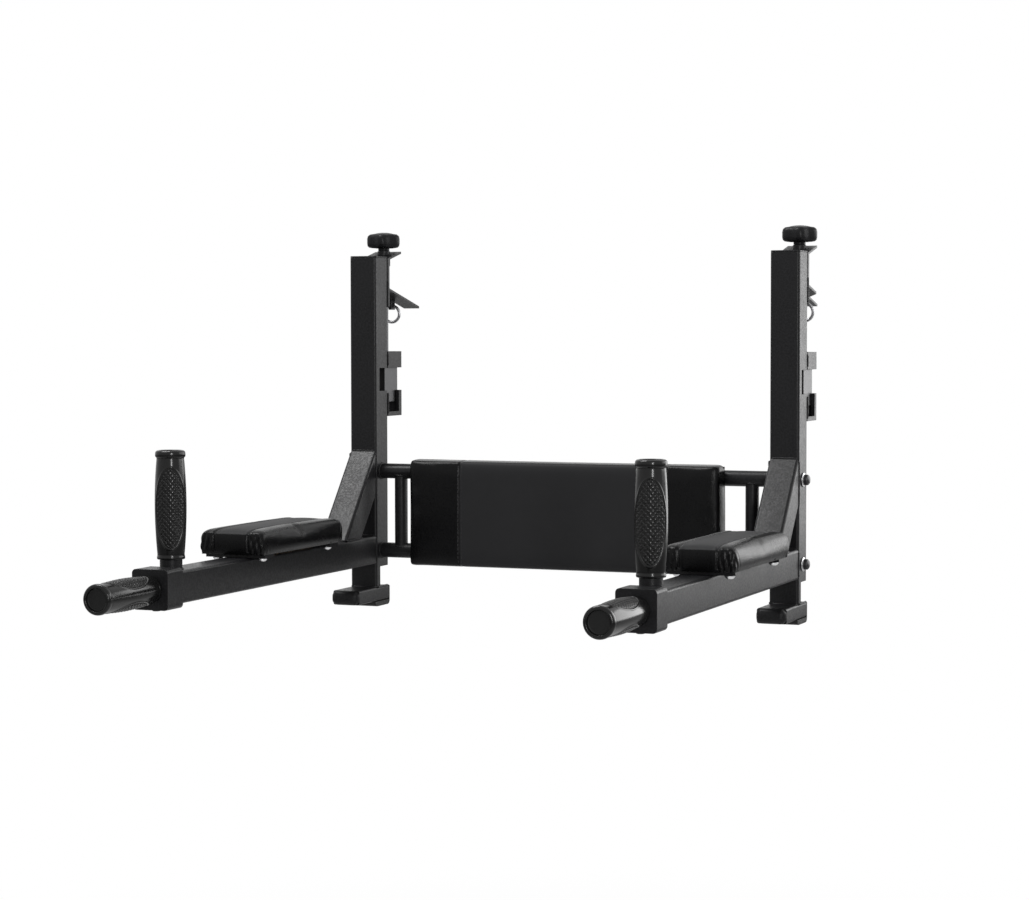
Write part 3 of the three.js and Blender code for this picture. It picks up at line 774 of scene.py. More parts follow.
def frame_rings(side, sign):
    """Centre, radius and axis of the round seams of one half"""
    low, high, middle = box_of(f"upright_handle_tube_{side}")
    arm_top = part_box(f"brace_{side}")[0].z
    rings = [((middle.x, middle.y, arm_top), (high.x - low.x) / 2, "Z")]
    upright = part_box(f"upright_{side}")
    inner = upright[0].x if sign > 0 else upright[1].x
    post_low, post_high, post = box_of(f"back_post_{side}")
    post_radius = (post_high.x - post_low.x) / 2
    for level, height in (("upper", post_high.z), ("lower", post_low.z)):
        low, high, tube = box_of(f"cross_tube_{level}")
        rings.append(((inner, tube.y, tube.z), (high.z - low.z) / 2, "X"))
        rings.append(((post.x, post.y, height), post_radius, "Z"))
    return rings


def dome_screw(place, radius, height):
    """A low round head that points down, with a socket sunk in it"""
    deselect_all()
    bpy.ops.mesh.primitive_cylinder_add(vertices=24, radius=radius, depth=height, location=place)
    screw = bpy.context.object
    apply_place(screw)
    with editing(screw, "FACE", lambda normal: normal.z < -0.9):
        bpy.ops.mesh.bevel(offset=height * 0.75, segments=4, affect="EDGES")
    with editing(screw, "FACE", lambda normal: normal.z < -0.999):
        bpy.ops.mesh.inset(thickness=radius * 0.18)
        bpy.ops.mesh.extrude_region_move(
            TRANSFORM_OT_translate={"value": (0, 0, height * 0.5)}
        )
    smooth(screw, 35)
    return screw


class STATION_OT_welds(bpy.types.Operator):
    """Weld beads where the tubes meet, and a small screw under the end of each arm"""

    bl_idname = "station.welds"
    bl_label = "Welds and screws"

    def execute(self, context):
        for side, sign in SIDES.items():
            beads = [weld_bead(*ends) for ends in frame_seams(side)]
            beads += [ring_bead(*ring) for ring in frame_rings(side, sign)]
            welds = join_pieces(beads)
            with editing(welds):
                bpy.ops.mesh.remove_doubles(threshold=WELD_DISTANCE)
                bpy.ops.mesh.normals_make_consistent(inside=False)
            smooth(welds, 60)
            finish_piece(welds, f"weld_beads_{side}", powder_coat())

            low, _, middle = box_of(f"arm_end_block_{side}")
            place = (middle.x, low.y + SCREW_FROM_FRONT, low.z - SCREW_DROP)
            screw = dome_screw(place, SCREW_RADIUS, SCREW_HEIGHT)
            finish_piece(screw, f"arm_screw_{side}", powder_coat())
        return {"FINISHED"}


# Grips

GRIP_SIDES = 56
BARREL_ROWS = 52
ROOT_LIP = 5.2 * MM
END_FLANGE = 9 * MM
PANEL_HALF_ANGLE = math.radians(64)
PANEL_START = 12.5 * MM
PANEL_STOP = 20 * MM
PANEL_RADIUS = 18.3 * MM
BRAID_CELL = 4.6 * MM
RIM_HEIGHT = 0.6 * MM
RIM_WIDTH = 0.85 * MM
GROOVE_DEPTH = 0.8 * MM
GROOVE_WIDTH = 0.7 * MM
# Painted shade in the recess of each grip's closed end, as a share of the rubber's colour
RECESS_SHADE = 0.25
UPRIGHT_TURN = {"left": -62, "right": -75}
FORWARD_TURN = 90

# Radius and height in millimetres, from the root up, and from the end of the barrel on
ROOT_ROWS = ((14.2, 0.0), (16.2, 0.0), (16.9, 0.8), (16.9, 3.4), (16.2, 4.6))
END_ROWS = (
    (16.3, 0.0), (17.6, 0.7), (18.2, 1.8), (18.25, 5.6), (17.7, 7.4), (16.2, 8.6),
    (14.6, 9.0), (13.7, 8.6), (13.1, 7.2), (12.6, 5.4), (12.0, 5.1), (6.0, 4.8),
)


def grip_profile(length):
    """Radius and height of the outer skin, from the root to the middle of the closed end"""
    barrel = length - END_FLANGE
    rows = [(radius * MM, height * MM) for radius, height in ROOT_ROWS]
    for step in range(1, BARREL_ROWS):
        share = step / BARREL_ROWS
        swell = 2.75 * math.sin(math.pi * share) ** 0.85
        radius = (16.1 + 0.35 * share + swell) * MM
        rows.append((radius, ROOT_LIP + (barrel - ROOT_LIP) * share))
    return rows + [(radius * MM, barrel + height * MM) for radius, height in END_ROWS]


def make_grip(length):
    """A grip along +Z with its root at the origin"""
    rows = grip_profile(length)
    deselect_all()
    bpy.ops.mesh.primitive_circle_add(
        vertices=GRIP_SIDES, radius=rows[0][0], fill_type="NOTHING"
    )
    grip = bpy.context.object
    with editing(grip):
        for (radius, height), (wider, higher) in zip(rows, rows[1:]):
            bpy.ops.mesh.extrude_region_move(
                TRANSFORM_OT_translate={"value": (0, 0, higher - height)}
            )
            ratio = wider / radius
            bpy.ops.transform.resize(value=(ratio, ratio, 1), center_override=(0, 0, higher))
        bpy.ops.mesh.extrude_region_move(TRANSFORM_OT_translate={"value": (0, 0, 0)})
        bpy.ops.mesh.merge(type="CENTER")
        bpy.ops.mesh.select_all(action="SELECT")
        bpy.ops.mesh.normals_make_consistent(inside=False)
    subdivide(grip, 2)
    emboss_panels(grip, length)
    smooth(grip, 70)
    return grip


def braid(across, along):
    """Height, from 0 to 1, of strands that pass over and under each other at 45 degrees"""
    first = (across + along) * math.sqrt(0.5)
    second = (along - across) * math.sqrt(0.5)
    over = (np.floor(first) + np.floor(second)) % 2 < 1
    strand = np.where(over, second, first) % 1.0
    run = np.where(over, first, second) % 1.0
    flat = np.clip(1.7 * np.sin(np.pi * strand), 0, 1) ** 0.8
    return flat * (0.7 + 0.3 * np.sin(np.pi * run))


def emboss_panels(grip, length):
    """Two oval panels back to back, sunk and filled with a braid, with a raised rim. The raised
    attribute it writes holds painted shade for the rubber: dark between the strands, in the
    groove round each panel and in the end recess
    """
    points = read_points(grip.data)
    radius = np.hypot(points[:, 0], points[:, 1])
    angle = np.arctan2(points[:, 1], points[:, 0])
    height = points[:, 2]
    middle = (PANEL_START + length - PANEL_STOP) / 2
    half = (length - PANEL_START - PANEL_STOP) / 2
    half_width = PANEL_HALF_ANGLE * PANEL_RADIUS
    around = ((angle + math.pi / 2) % math.pi - math.pi / 2) * PANEL_RADIUS
    side, up = around / half_width, (height - middle) / half
    oval = np.hypot(side, up)
    slope = np.hypot(side / half_width, up / half) / np.maximum(oval, 1e-6)
    outside = (oval - 1) / np.maximum(slope, 1e-6)
    inside = step_up(-outside, 1.6 * MM, 2.8 * MM)
    strands = braid(around / BRAID_CELL, (height - middle) / BRAID_CELL)
    groove = hump(outside + 1.9 * MM, GROOVE_WIDTH) * (1 - inside)
    on_skin = (radius > 14 * MM) & (height > 6 * MM) & (height < length - END_FLANGE)
    push = inside * (sizes().grip_relief * strands - sizes().grip_panel_depth)
    push += RIM_HEIGHT * hump(outside, RIM_WIDTH) - GROOVE_DEPTH * groove
    push = np.where(on_skin, push, 0.0)
    points[:, :2] *= 1 + (push / np.maximum(radius, 1e-6))[:, None]
    write_points(grip.data, points)
    # Painted shade: 1 on the strands and the plain skin, lower between the strands and in the
    # groove, RECESS_SHADE in the end recess
    in_recess = (radius < 12.8 * MM) & (height > length - 5 * MM)
    elsewhere = np.where(in_recess, RECESS_SHADE, 1.0)
    shade = np.where(on_skin, 1 - inside * (1 - strands) - 0.8 * groove, elsewhere)
    raised = grip.data.attributes.new("raised", "FLOAT", "POINT")
    raised.data.foreach_set("value", np.clip(shade, 0, 1))


def place_grip(master, kind, side):
    """A copy of the master grip on its handle, with the panels turned to their side"""
    low, high, centre = box_of(f"{kind}_grip_{side}")
    if kind == "upright":
        turn = Matrix.Rotation(math.radians(UPRIGHT_TURN[side]), 4, "Z")
        root = Vector((centre.x, centre.y, low.z))
    else:
        roll = Matrix.Rotation(math.radians(FORWARD_TURN), 4, "Z")
        turn = Matrix.Rotation(math.pi / 2, 4, "X") @ roll
        root = Vector((centre.x, high.y, centre.z))
    grip = master.copy()
    grip.data = master.data.copy()
    bpy.context.scene.collection.objects.link(grip)
    grip.data.transform(Matrix.Translation(root) @ turn)
    return grip


class STATION_OT_grips(bpy.types.Operator):
    """Moulded grips with woven oval panels"""

    bl_idname = "station.grips"
    bl_label = "Grips"

    def execute(self, context):
        for kind in ("upright", "forward"):
            low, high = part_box(f"{kind}_grip_left")
            master = make_grip(max(high - low))
            for side in SIDES:
                grip = place_grip(master, kind, side)
                finish_piece(grip, f"{kind}_grip_skin_{side}", grip_rubber())
                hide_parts(f"{kind}_grip_{side}")
            bpy.data.objects.remove(master)
        return {"FINISHED"}


# Cushions

CUSHION_ROUNDING = 7 * MM
CUSHION_SHRINK = 2 * MM
EDGE_REACH = 18 * MM
FILL_FRAMES = 20
CLOTH = {
    "quality": 6,
    "mass": 0.3,
    "tension_stiffness": 20,
    "compression_stiffness": 20,
    "shear_stiffness": 8,
    "bending_stiffness": 2,
    "use_pressure": True,
    "uniform_pressure_force": 4,
    "vertex_group_mass": "held",
}
BOARD_CLEAR = 0.4 * MM
POCKET_REACH = 4 * MM
FLAT_REACH = 3.5 * MM
FLAT_WIDTH = 4.2 * MM
EDGE_SNAP = 0.8 * MM
HEM_LIFT = 0.03 * MM
HEM_THICKNESS = 0.22 * MM
HEM_RIM = 3.5 * MM
HEM_CUTS = 12
HEM_RIPPLE = 0.8 * MM
HELD_DEPTH = 6 * MM
SEAM_END = 6 * MM
RAY_START = 30 * MM
THREAD_GAUGE = 0.7 * MM
STAPLE_LENGTH = 9 * MM
STAPLE_PITCH = 26 * MM
STAPLE_PATH = 12
STITCH_SHARE = 0.62


def plain_cushion(low, high):
    """A closed box with rounded edges, a little smaller than the finished cushion"""
    deselect_all()
    bpy.ops.mesh.primitive_cube_add(size=1, location=(low + high) / 2)
    cushion = bpy.context.object
    cushion.scale = high - low - Vector((CUSHION_SHRINK,) * 3) * 2
    apply_place(cushion)
    with editing(cushion):
        bpy.ops.mesh.bevel(offset=CUSHION_ROUNDING, segments=4, affect="EDGES")
    return cushion


def fill_cushion(cushion, held, most):
    """Cloth under pressure: the cover swells, the held side stays, and no point moves too far"""
    rest = read_points(cushion.data)
    group = cushion.vertex_groups.new(name="held")
    group.add([int(i) for i in np.nonzero(held(rest))[0]], 1.0, "REPLACE")
    activate(cushion)
    cloth = add_modifier(cushion, "CLOTH")
    for key, value in CLOTH.items():
        setattr(cloth.settings, key, value)
    cloth.settings.effector_weights.gravity = 0
    cloth.point_cache.frame_start = 1
    cloth.point_cache.frame_end = FILL_FRAMES
    scene = bpy.context.scene
    for step in range(1, FILL_FRAMES + 1):
        scene.frame_set(step)
    bpy.ops.object.modifier_apply(modifier=cloth.name)
    scene.frame_set(1)
    cushion.vertex_groups.clear()
    move = read_points(cushion.data) - rest
    reach = np.linalg.norm(move, axis=1, keepdims=True)
    factor = np.minimum(1.0, most / np.maximum(reach, 1e-9))
    write_points(cushion.data, rest + move * factor)


def fit_to(cushion, low, high):
    """Scales the filled cover so that it fills its box exactly"""
    points = read_points(cushion.data)
    start, end = points.min(axis=0), points.max(axis=0)
    share = (points - start) / (end - start)
    write_points(cushion.data, np.array(low) + share * (np.array(high) - np.array(low)))


def crisp_edges(cushion, low, high, keep):
    """Draws the rounding of the edges tighter; keep is the share of it left for each axis"""
    points = read_points(cushion.data)
    for axis, share in enumerate(keep):
        for face, inward in ((low[axis], 1), (high[axis], -1)):
            depth = (points[:, axis] - face) * inward
            part = np.clip(depth / EDGE_REACH, 0, 1)
            tight = EDGE_REACH * (share * part + (1 - share) * part**2 * (2 - part))
            points[:, axis] = face + inward * np.where(depth < EDGE_REACH, tight, depth)
    write_points(cushion.data, points)


def make_cushion(node, crown, voxel, held, crisp, swell):
    """Cover of a cushion, filled as cloth, then fitted to the space of its CAD solid"""
    low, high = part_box(node)
    low, high = low + Vector(crown[0]), high - Vector(crown[1])
    cushion = plain_cushion(low, high)
    apply_modifier(cushion, "REMESH", mode="VOXEL", voxel_size=voxel)
    fill_cushion(cushion, held, sizes().cushion_swell * swell)
    apply_modifier(cushion, "SMOOTH", factor=0.5, iterations=3)
    subdivide(cushion, 2)
    fit_to(cushion, low, high)
    crisp_edges(cushion, low, high, crisp)
    return cushion, low, high


def cut_pocket(cushion, board, axis, floor_is_low):
    """Sinks the cover's rear face round the board, which stays visible in it"""
    board_low, board_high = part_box(board)
    points = read_points(cushion.data)
    normals = read_points(cushion.data, "normal")
    flat = [other for other in range(3) if other != axis]
    if floor_is_low:
        rear, deep = board_low[axis], board_high[axis] + BOARD_CLEAR
        facing = normals[:, axis] < -0.6
    else:
        rear, deep = board_high[axis], board_low[axis] - BOARD_CLEAR
        facing = normals[:, axis] > 0.6
    from_rear = np.abs(points[:, axis] - rear)
    at_rear = facing & (from_rear < POCKET_REACH)
    inside = np.full(len(points), np.inf)
    for other in flat:
        inside = np.minimum(inside, points[:, other] - board_low[other] + BOARD_CLEAR)
        inside = np.minimum(inside, board_high[other] + BOARD_CLEAR - points[:, other])
    rim = (from_rear < FLAT_REACH) & (inside <= 0) & (inside > -FLAT_WIDTH)
    points[rim, axis] = rear
    points[at_rear & (inside > 0), axis] = deep
    near = at_rear & (np.abs(inside) < EDGE_SNAP)
    for other in flat:
        for edge in (board_low[other] - BOARD_CLEAR, board_high[other] + BOARD_CLEAR):
            close = near & (np.abs(points[:, other] - edge) < EDGE_SNAP)
            points[close, other] = edge
    write_points(cushion.data, points)


def stitch_row(path, normal, gauge, length, pitch):
    """A row of stitches or staples along a path of points; each is a small bent capsule"""
    deselect_all()
    bpy.ops.mesh.primitive_cylinder_add(
        vertices=6, radius=gauge / 2, depth=length, end_fill_type="TRIFAN"
    )
    one = bpy.context.object
    base = read_points(one.data)
    faces = [tuple(face.vertices) for face in one.data.polygons]
    ends = np.abs(base[:, 2]) > length * 0.48
    base[ends, :2] *= 0.6
    base[:, 0] -= (base[:, 2] / length) ** 2 * gauge * 1.15
    lengths = np.linalg.norm(np.diff(path, axis=0), axis=1)
    run = np.concatenate([[0], np.cumsum(lengths)])

    def at(values, place):
        return np.array([np.interp(place, run, values[:, axis]) for axis in range(3)])

    count = int(run[-1] // pitch)
    points, polygons = [], []
    for index in range(count):
        place = (index + 0.5) * run[-1] / count
        here = at(path, place)
        forward = at(path, place + pitch / 3) - here
        forward /= max(np.linalg.norm(forward), 1e-9)
        up = at(normal, place)
        up -= forward * (up @ forward)
        up /= max(np.linalg.norm(up), 1e-9)
        side = np.cross(forward, up)
        first = len(points) * len(base)
        stitch = base[:, :1] * up + base[:, 1:2] * side + base[:, 2:] * forward
        points.append(stitch + here + up * gauge * 0.15)
        polygons += [tuple(vertex + first for vertex in face) for face in faces]
    mesh = bpy.data.meshes.new("stitches")
    mesh.from_pydata(np.concatenate(points).tolist(), [], polygons)
    row = bpy.data.objects.new("stitches", mesh)
    bpy.context.scene.collection.objects.link(row)
    bpy.data.objects.remove(one)
    smooth(row, 80)
    return row


def surface_path(cushion, start, end, ray, count):
    """Points and normals on the cushion under a straight line, found by rays"""
    points, normals = [], []
    for step in range(count + 1):
        origin = start.lerp(end, step / count)
        hit, place, normal, _ = cushion.ray_cast(origin, ray)
        if hit:
            points.append(place)
            normals.append(normal)
    return np.array(points), np.array(normals)


def cover_hem(board, axis, outward, width):
    """The cover's border that is turned over the rear of the board, as a thin frame"""
    low, high, middle = box_of(board)
    place = middle.copy()
    place[axis] = (high if outward > 0 else low)[axis] + outward * HEM_LIFT
    reach = high - low + Vector((HEM_RIM,) * 3) * 2
    turn = (0, 0, 0) if axis == 2 else (math.pi / 2, 0, 0)
    push = [0, 0, 0]
    push[axis] = outward * HEM_THICKNESS
    deselect_all()
    bpy.ops.mesh.primitive_plane_add(size=1, location=place, rotation=turn)
    hem = bpy.context.object
    hem.scale = (reach.x, reach.y if axis == 2 else reach.z, 1)
    apply_place(hem)
    with editing(hem, "FACE"):
        bpy.ops.mesh.inset(thickness=width + HEM_RIM)
        bpy.ops.mesh.delete(type="FACE")
        bpy.ops.mesh.select_all(action="SELECT")
        bpy.ops.mesh.subdivide(number_cuts=HEM_CUTS)
        bpy.ops.mesh.select_all(action="SELECT")
        bpy.ops.mesh.extrude_region_move(TRANSFORM_OT_translate={"value": push})
        bpy.ops.mesh.select_all(action="SELECT")
        bpy.ops.mesh.normals_make_consistent(inside=False)
    points = read_points(hem.data)
    across, along = (other for other in range(3) if other != axis)
    inner = np.ones(len(points), bool)
    for other in (across, along):
        half = (high[other] - low[other]) / 2
        inner &= np.abs(points[:, other] - middle[other]) < half - width + 0.2 * MM
    for other, run in ((across, along), (along, across)):
        ripple = HEM_RIPPLE * np.sin(points[:, run] * 300) * np.sin(points[:, run] * 91)
        points[inner, other] += ripple[inner]
    write_points(hem.data, points)
    smooth(hem, 30)
    return hem


class Upholstery:
    """What all cushions share. The front looks along AXIS, to the side that FRONT gives, and
    the seams run along ALONG. CROWN is the room left at the low and the high corner for what
    the sewing adds, CRISP is the share of the rounding that crisp_edges leaves for each axis,
    and SWELL is the cushion's share of the set swell."""

    def held(self, node):
        """Test for the points near the board, which stay in place when the cover is filled"""
        low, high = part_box(node)
        if self.FRONT > 0:
            return lambda points: points[:, self.AXIS] < low[self.AXIS] + HELD_DEPTH
        return lambda points: points[:, self.AXIS] > high[self.AXIS] - HELD_DEPTH

    def make(self, node, board, name, places):
        """Fills, sews, fits, covers, stitches and fastens one cushion"""
        cushion, low, high = make_cushion(
            node, self.CROWN, self.VOXEL, self.held(node), self.CRISP, self.SWELL
        )
        middle = box_of(node)[2]
        self.sew(cushion, middle, low, high)
        cut_pocket(cushion, board, self.AXIS, self.FRONT > 0)
        finish_piece(cushion, name.format("cushion"), leather())
        self.cover_panel(cushion, middle.x)
        smooth(cushion, 180)
        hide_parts(node)
        for place, sign in places:
            for number, offset in enumerate((-self.STITCH_GAP, self.STITCH_GAP)):
                row = self.stitch(cushion, middle.x + sign * (self.SEAM + offset), low, high)
                row_name = f"{name.format('stitches')}_{place}_{number + 1}"
                finish_piece(row, row_name, thread())
        hem = cover_hem(board, self.AXIS, -self.FRONT, self.HEM)
        finish_piece(hem, name.format("hem"), leather())
        staples = join_pieces([self.staples(*line) for line in self.lines(*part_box(board))])
        finish_piece(staples, name.format("staples"), staple_wire())

    def cover_panel(self, cushion, middle):
        """Gives the faces between the seams of the front their own covering"""
        cushion.data.materials.append(panel_cloth())
        for face in cushion.data.polygons:
            on_front = face.normal[self.AXIS] * self.FRONT > 0.5
            if on_front and abs(face.center.x - middle) < self.SEAM:
                face.material_index = 1

    def stitch(self, cushion, x, low, high):
        """A row of stitches on the front, placed by rays from before it"""
        start, end = low.copy(), high.copy()
        start[self.ALONG] += SEAM_END
        end[self.ALONG] -= SEAM_END
        front = (high if self.FRONT > 0 else low)[self.AXIS]
        for point in (start, end):
            point.x = x
            point[self.AXIS] = front + self.FRONT * RAY_START
        ray = Vector((0, 0, 0))
        ray[self.AXIS] = -self.FRONT
        pitch = sizes().stitch_pitch
        path = surface_path(cushion, start, end, ray, self.RAYS)
        return stitch_row(*path, THREAD_GAUGE, pitch * STITCH_SHARE, pitch)

    def staples(self, start, end):
        path = np.linspace(start, end, STAPLE_PATH)
        normal = np.zeros_like(path)
        normal[:, self.AXIS] = -self.FRONT
        return stitch_row(path, normal, THREAD_GAUGE, STAPLE_LENGTH, STAPLE_PITCH)


class STATION_OT_armrests(Upholstery, bpy.types.Operator):
    """Armrest cushions: a smooth middle panel, bulging side strips, gathered corners"""

    bl_idname = "station.armrests"
    bl_label = "Armrest cushions"

    AXIS, FRONT, ALONG = 2, 1, 1
    CROWN = ((0, 0, 0), (0, 0, 3.2 * MM))
    VOXEL = 4.5 * MM
    CRISP = (0.6, 0.6, 0.4)
    SWELL = 1.0
    SEAM = 24 * MM
    STITCH_GAP = 2.4 * MM
    RAYS = 120
    PANEL_CROWN = 1.3 * MM
    STRIP_CROWN = 2.0 * MM
    SIDE_BULGE = 1.1 * MM
    SEAM_ROLL = 0.4 * MM
    FOLD = 7.4 * MM
    FOLD_DEPTH = 0.7 * MM
    CREASE_DEPTH = 0.6 * MM
    HEM = 16 * MM
    STAPLES_FROM_SIDE = 11 * MM
    STAPLES_FROM_END = 40 * MM

    def execute(self, context):
        for side, sign in SIDES.items():
            places = (("inner", -sign), ("outer", sign))
            name = f"armrest_{{}}_{side}"
            self.make(f"armrest_pad_{side}", f"armrest_board_{side}", name, places)
        return {"FINISHED"}

    def lines(self, low, high):
        """Two lines of staples, one near each long side of the board"""
        under = low.z - HEM_LIFT - HEM_THICKNESS
        front, rear = low.y + self.STAPLES_FROM_END, high.y - self.STAPLES_FROM_END
        columns = (low.x + self.STAPLES_FROM_SIDE, high.x - self.STAPLES_FROM_SIDE)
        return [((x, front, under), (x, rear, under)) for x in columns]

    def sew(self, cushion, middle, low, high):
        """Crowns between the seams, furrows along them, and folds gathered at the corners"""
        sign = math.copysign(1, middle.x)
        points = read_points(cushion.data)
        normals = read_points(cushion.data, "normal")
        half_x = (high.x - low.x) / 2
        half_y = (high.y - low.y) / 2
        across = points[:, 0] - middle.x
        along = points[:, 1] - middle.y
        offset = np.abs(across)
        raised = np.clip((points[:, 2] - low.z) / (high.z - low.z), 0, 1)
        to_end = half_y - np.abs(along)
        lasting = step_up(to_end, 0, 14 * MM)
        panel = np.clip(1 - (offset / self.SEAM) ** 2, 0, 1)
        strip = np.clip((offset - self.SEAM) / (half_x - self.SEAM), 0, 1)
        swell = self.PANEL_CROWN * panel + self.STRIP_CROWN * np.sin(np.pi * strip) ** 0.8
        points[:, 2] += swell * raised**3 * (0.35 + 0.65 * lasting)
        bulge = np.sin(np.pi * raised) * step_up(offset, half_x - 6 * MM, half_x)
        points[:, 0] += np.sign(across) * self.SIDE_BULGE * bulge * (0.3 + 0.7 * lasting)

        distance = np.abs(offset - self.SEAM)
        on_cover = (normals[:, 2] > -0.3) & (raised > 0.05)
        depth = sizes().seam_depth * hump(distance, 1.3 * MM) * on_cover
        depth -= self.SEAM_ROLL * hump(distance - 3.6 * MM, 1.8 * MM) * on_cover

        end_face = step_up(np.abs(normals[:, 1]), 0.35, 0.8)
        tilt = 0.2 * (points[:, 2] - low.z)
        waves = np.sin(2 * np.pi * (offset + tilt) / self.FOLD + sign * 0.9 + np.sign(along))
        waves += 0.6 * np.sin(2 * np.pi * (offset - tilt) / (self.FOLD * 0.57) + sign)
        gather = end_face * step_up(offset, self.SEAM - 3 * MM, self.SEAM + 5 * MM)
        depth += self.FOLD_DEPTH * waves * gather * (0.3 + 0.7 * (1 - raised**2))
        lean = to_end + 0.55 * (points[:, 2] - low.z)
        creases = np.sin(2 * np.pi * lean / (self.FOLD * 1.25) + np.sign(along) * 0.7)
        side_face = step_up(np.abs(normals[:, 0]), 0.4, 0.85)
        fading = 1 - step_up(to_end, 6 * MM, 26 * MM)
        depth += self.CREASE_DEPTH * creases * side_face * fading * (1 - raised)
        write_points(cushion.data, points - normals * depth[:, None])


class STATION_OT_backrest(Upholstery, bpy.types.Operator):
    """Backrest cushion: one broad panel, two sewn end panels"""

    bl_idname = "station.backrest"
    bl_label = "Backrest cushion"

    AXIS, FRONT, ALONG = 1, -1, 2
    CROWN = ((-4 * MM, 1.6 * MM, 0), (0, 0, 0))
    VOXEL = 5.5 * MM
    CRISP = (0.45, 0.4, 0.6)
    SWELL = 0.5
    SEAM = 148 * MM
    STITCH_GAP = 2.6 * MM
    RAYS = 100
    PANEL_CROWN = 0.9 * MM
    STRIP_CROWN = 1.2 * MM
    FOLD = 9 * MM
    FOLD_DEPTH = 1.2 * MM
    HEM = 26 * MM
    STAPLE_INSET = 22 * MM
    CORNER = 5 * MM

    def execute(self, context):
        self.make("backrest_pad", "backrest_board", "backrest_{}", SIDES.items())
        return {"FINISHED"}

    def lines(self, low, high):
        """Four lines of staples; the upright ones stop short of the corners"""
        behind = high.y + HEM_LIFT + HEM_THICKNESS
        left, right = low.x + self.STAPLE_INSET, high.x - self.STAPLE_INSET
        bottom, top = low.z + self.STAPLE_INSET, high.z - self.STAPLE_INSET
        lines = [((left, behind, z), (right, behind, z)) for z in (bottom, top)]
        bottom, top = bottom + self.CORNER, top - self.CORNER
        return lines + [((x, behind, bottom), (x, behind, top)) for x in (left, right)]

    def sew(self, cushion, middle, low, high):
        """A slow crown, furrows along the two seams, and light folds at the ends"""
        points = read_points(cushion.data)
        normals = read_points(cushion.data, "normal")
        offset = np.abs(points[:, 0] - middle.x)
        half_x = (high.x - low.x) / 2
        half_z = (high.z - low.z) / 2
        up = np.abs(points[:, 2] - middle.z) / half_z
        raised = np.clip((high.y - points[:, 1]) / (high.y - low.y), 0, 1)
        panel = np.clip(1 - (offset / self.SEAM) ** 2, 0, 1)
        strip = np.clip((offset - self.SEAM) / (half_x - self.SEAM), 0, 1)
        swell = self.PANEL_CROWN * panel + self.STRIP_CROWN * np.sin(np.pi * strip)
        points[:, 1] -= swell * raised**3 * np.clip(1 - up**4, 0, 1)
        on_cover = (normals[:, 1] < 0.3) & (raised > 0.05)
        depth = sizes().seam_depth * hump(offset - self.SEAM, 1.5 * MM) * on_cover
        side_face = step_up(np.abs(normals[:, 0]), 0.4, 0.85)
        folds = np.sin(2 * np.pi * points[:, 2] / self.FOLD) * np.clip(up - 0.6, 0, 1)
        depth += self.FOLD_DEPTH * folds * side_face * (1 - raised)
        write_points(cushion.data, points - normals * depth[:, None])


# Stage

FLOOR_SIZE = 40
FLOOR_DROP = 0.9

# Place, target, size and power of each lamp
SOFTBOXES = {
    "top light": ((-1.05, -0.62, 2.2), (0, -0.2, -0.1), (0.8, 1.3), 62),
    "right light": ((2.6, 1.0, 0.8), (0.1, -0.2, -0.1), (1.6, 1.6), 24),
    "rear light": ((1.25, 1.45, 0.2), (0.1, -0.2, -0.1), (1.2, 1.2), 15),
    "camera light": ((1.8, -3.1, 0.5), (0, -0.5, -0.05), (0.28, 1.3), 44),
}

# Camera that matches the photo's viewing angle, in the part's frame
CAMERA_PLACE = (1.1929, -3.15435, 0.0635)
CAMERA_YAW = 0.3853
CAMERA_PITCH = -0.0474
CAMERA_ROLL = -0.0013
FOCAL_LENGTH_PX = 2479.6
IMAGE_WIDTH_PX = 1029
SENSOR_WIDTH = 36.0


def softbox(name, place, target, size, power):
    deselect_all()
    bpy.ops.object.light_add(type="AREA", location=place)
    lamp = bpy.context.object
    lamp.name = name
    lamp.data.shape = "RECTANGLE"
    lamp.data.size, lamp.data.size_y = size
    lamp.data.energy = power
    lamp.visible_camera = False
    aim = Vector(target) - Vector(place)
    lamp.rotation_euler = aim.to_track_quat("-Z", "Y").to_euler()


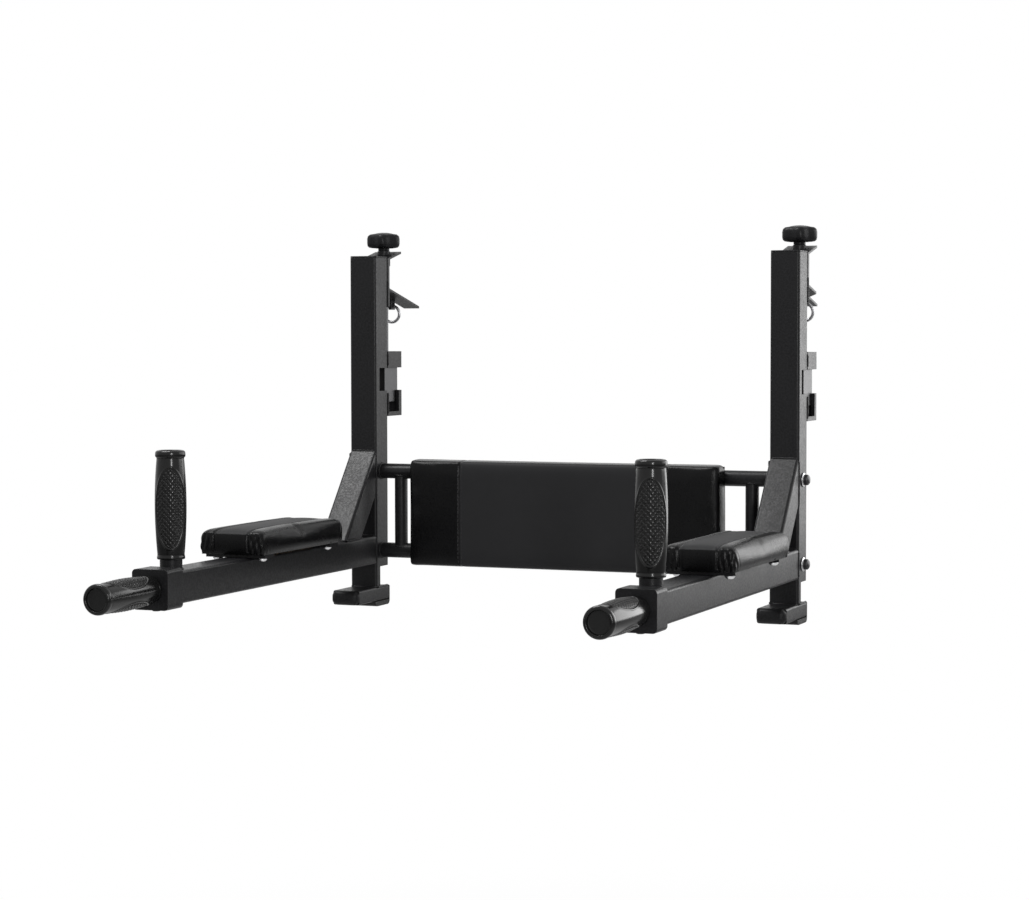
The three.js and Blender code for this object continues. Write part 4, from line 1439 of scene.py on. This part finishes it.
class STATION_OT_stage(bpy.types.Operator):
    """Pale floor, soft studio light and the camera"""

    bl_idname = "station.stage"
    bl_label = "Stage"

    def execute(self, context):
        self.floor()
        self.world()
        for name, settings in SOFTBOXES.items():
            softbox(name, *settings)
        self.camera()
        return {"FINISHED"}

    def floor(self):
        deselect_all()
        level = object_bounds()[0].z - FLOOR_DROP
        bpy.ops.mesh.primitive_plane_add(size=FLOOR_SIZE, location=(0, 0, level))
        floor = bpy.context.object
        floor.name = "floor"
        floor.data.materials.append(pale_floor())
        floor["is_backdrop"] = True

    def world(self):
        """White for the camera and in reflections, dim for all other rays"""
        world = bpy.data.worlds.new("studio")
        bpy.context.scene.world = world
        world.use_nodes = True
        world.node_tree.nodes.clear()
        nodes = Nodes(world.node_tree)
        path = nodes.add("ShaderNodeLightPath").outputs
        seen = nodes.math("ADD", path["Is Camera Ray"], path["Is Glossy Ray"])
        seen = nodes.math("ADD", seen, path["Is Transmission Ray"], clamp=True)
        soft, white = (
            nodes.add("ShaderNodeBackground", {"Color": grey(1.0), "Strength": strength})
            for strength in (0.3, 1.0)
        )
        nodes.add("ShaderNodeOutputWorld", {"Surface": nodes.blend(seen, soft, white)})

    def camera(self):
        yaw, pitch, roll = CAMERA_YAW, CAMERA_PITCH, CAMERA_ROLL
        level = math.cos(pitch)
        forward = Vector((-math.sin(yaw) * level, math.cos(yaw) * level, math.sin(pitch)))
        flat_right = Vector((math.cos(yaw), math.sin(yaw), 0))
        flat_up = flat_right.cross(forward)
        right = flat_right * math.cos(roll) + flat_up * math.sin(roll)
        up = flat_up * math.cos(roll) - flat_right * math.sin(roll)
        turn = Matrix((right, up, -forward)).transposed().to_4x4()
        deselect_all()
        bpy.ops.object.camera_add()
        camera = bpy.context.object
        camera.name = "camera"
        camera.matrix_world = Matrix.Translation(CAMERA_PLACE) @ turn
        camera.data.sensor_width = SENSOR_WIDTH
        camera.data.lens = FOCAL_LENGTH_PX / IMAGE_WIDTH_PX * SENSOR_WIDTH
        camera.data.clip_end = 100
        bpy.context.scene.camera = camera
        bpy.context.scene.view_settings.view_transform = "Standard"


OPERATORS = (
    STATION_OT_stage,
    STATION_OT_steel_frame,
    STATION_OT_fittings,
    STATION_OT_plastics,
    STATION_OT_welds,
    STATION_OT_grips,
    STATION_OT_armrests,
    STATION_OT_backrest,
)


class STATION_PT_panel(bpy.types.Panel):
    """Lists the sizes, the colours and the steps"""

    bl_idname = "STATION_PT_panel"
    bl_label = "Dip Station"
    bl_space_type = "VIEW_3D"
    bl_region_type = "UI"
    bl_category = "Dip Station"

    def draw(self, context):
        for group in (context.scene.station_sizes, context.scene.station_colours):
            box = self.layout.box()
            for name in group.bl_rna.properties.keys():
                if name not in ("rna_type", "name"):
                    box.prop(group, name)
        for operator in OPERATORS:
            self.layout.operator(operator.bl_idname)


CLASSES = (StationSizes, StationColours, *OPERATORS, STATION_PT_panel)


def register():
    for item in CLASSES:
        bpy.utils.register_class(item)
    bpy.types.Scene.station_sizes = bpy.props.PointerProperty(type=StationSizes)
    bpy.types.Scene.station_colours = bpy.props.PointerProperty(type=StationColours)


def unregister():
    del bpy.types.Scene.station_colours
    del bpy.types.Scene.station_sizes
    for item in reversed(CLASSES):
        bpy.utils.unregister_class(item)


def main():
    register()
    for operator in OPERATORS:
        group, name = operator.bl_idname.split(".")
        getattr(getattr(bpy.ops, group), name)()


if __name__ == "__main__":
    main()
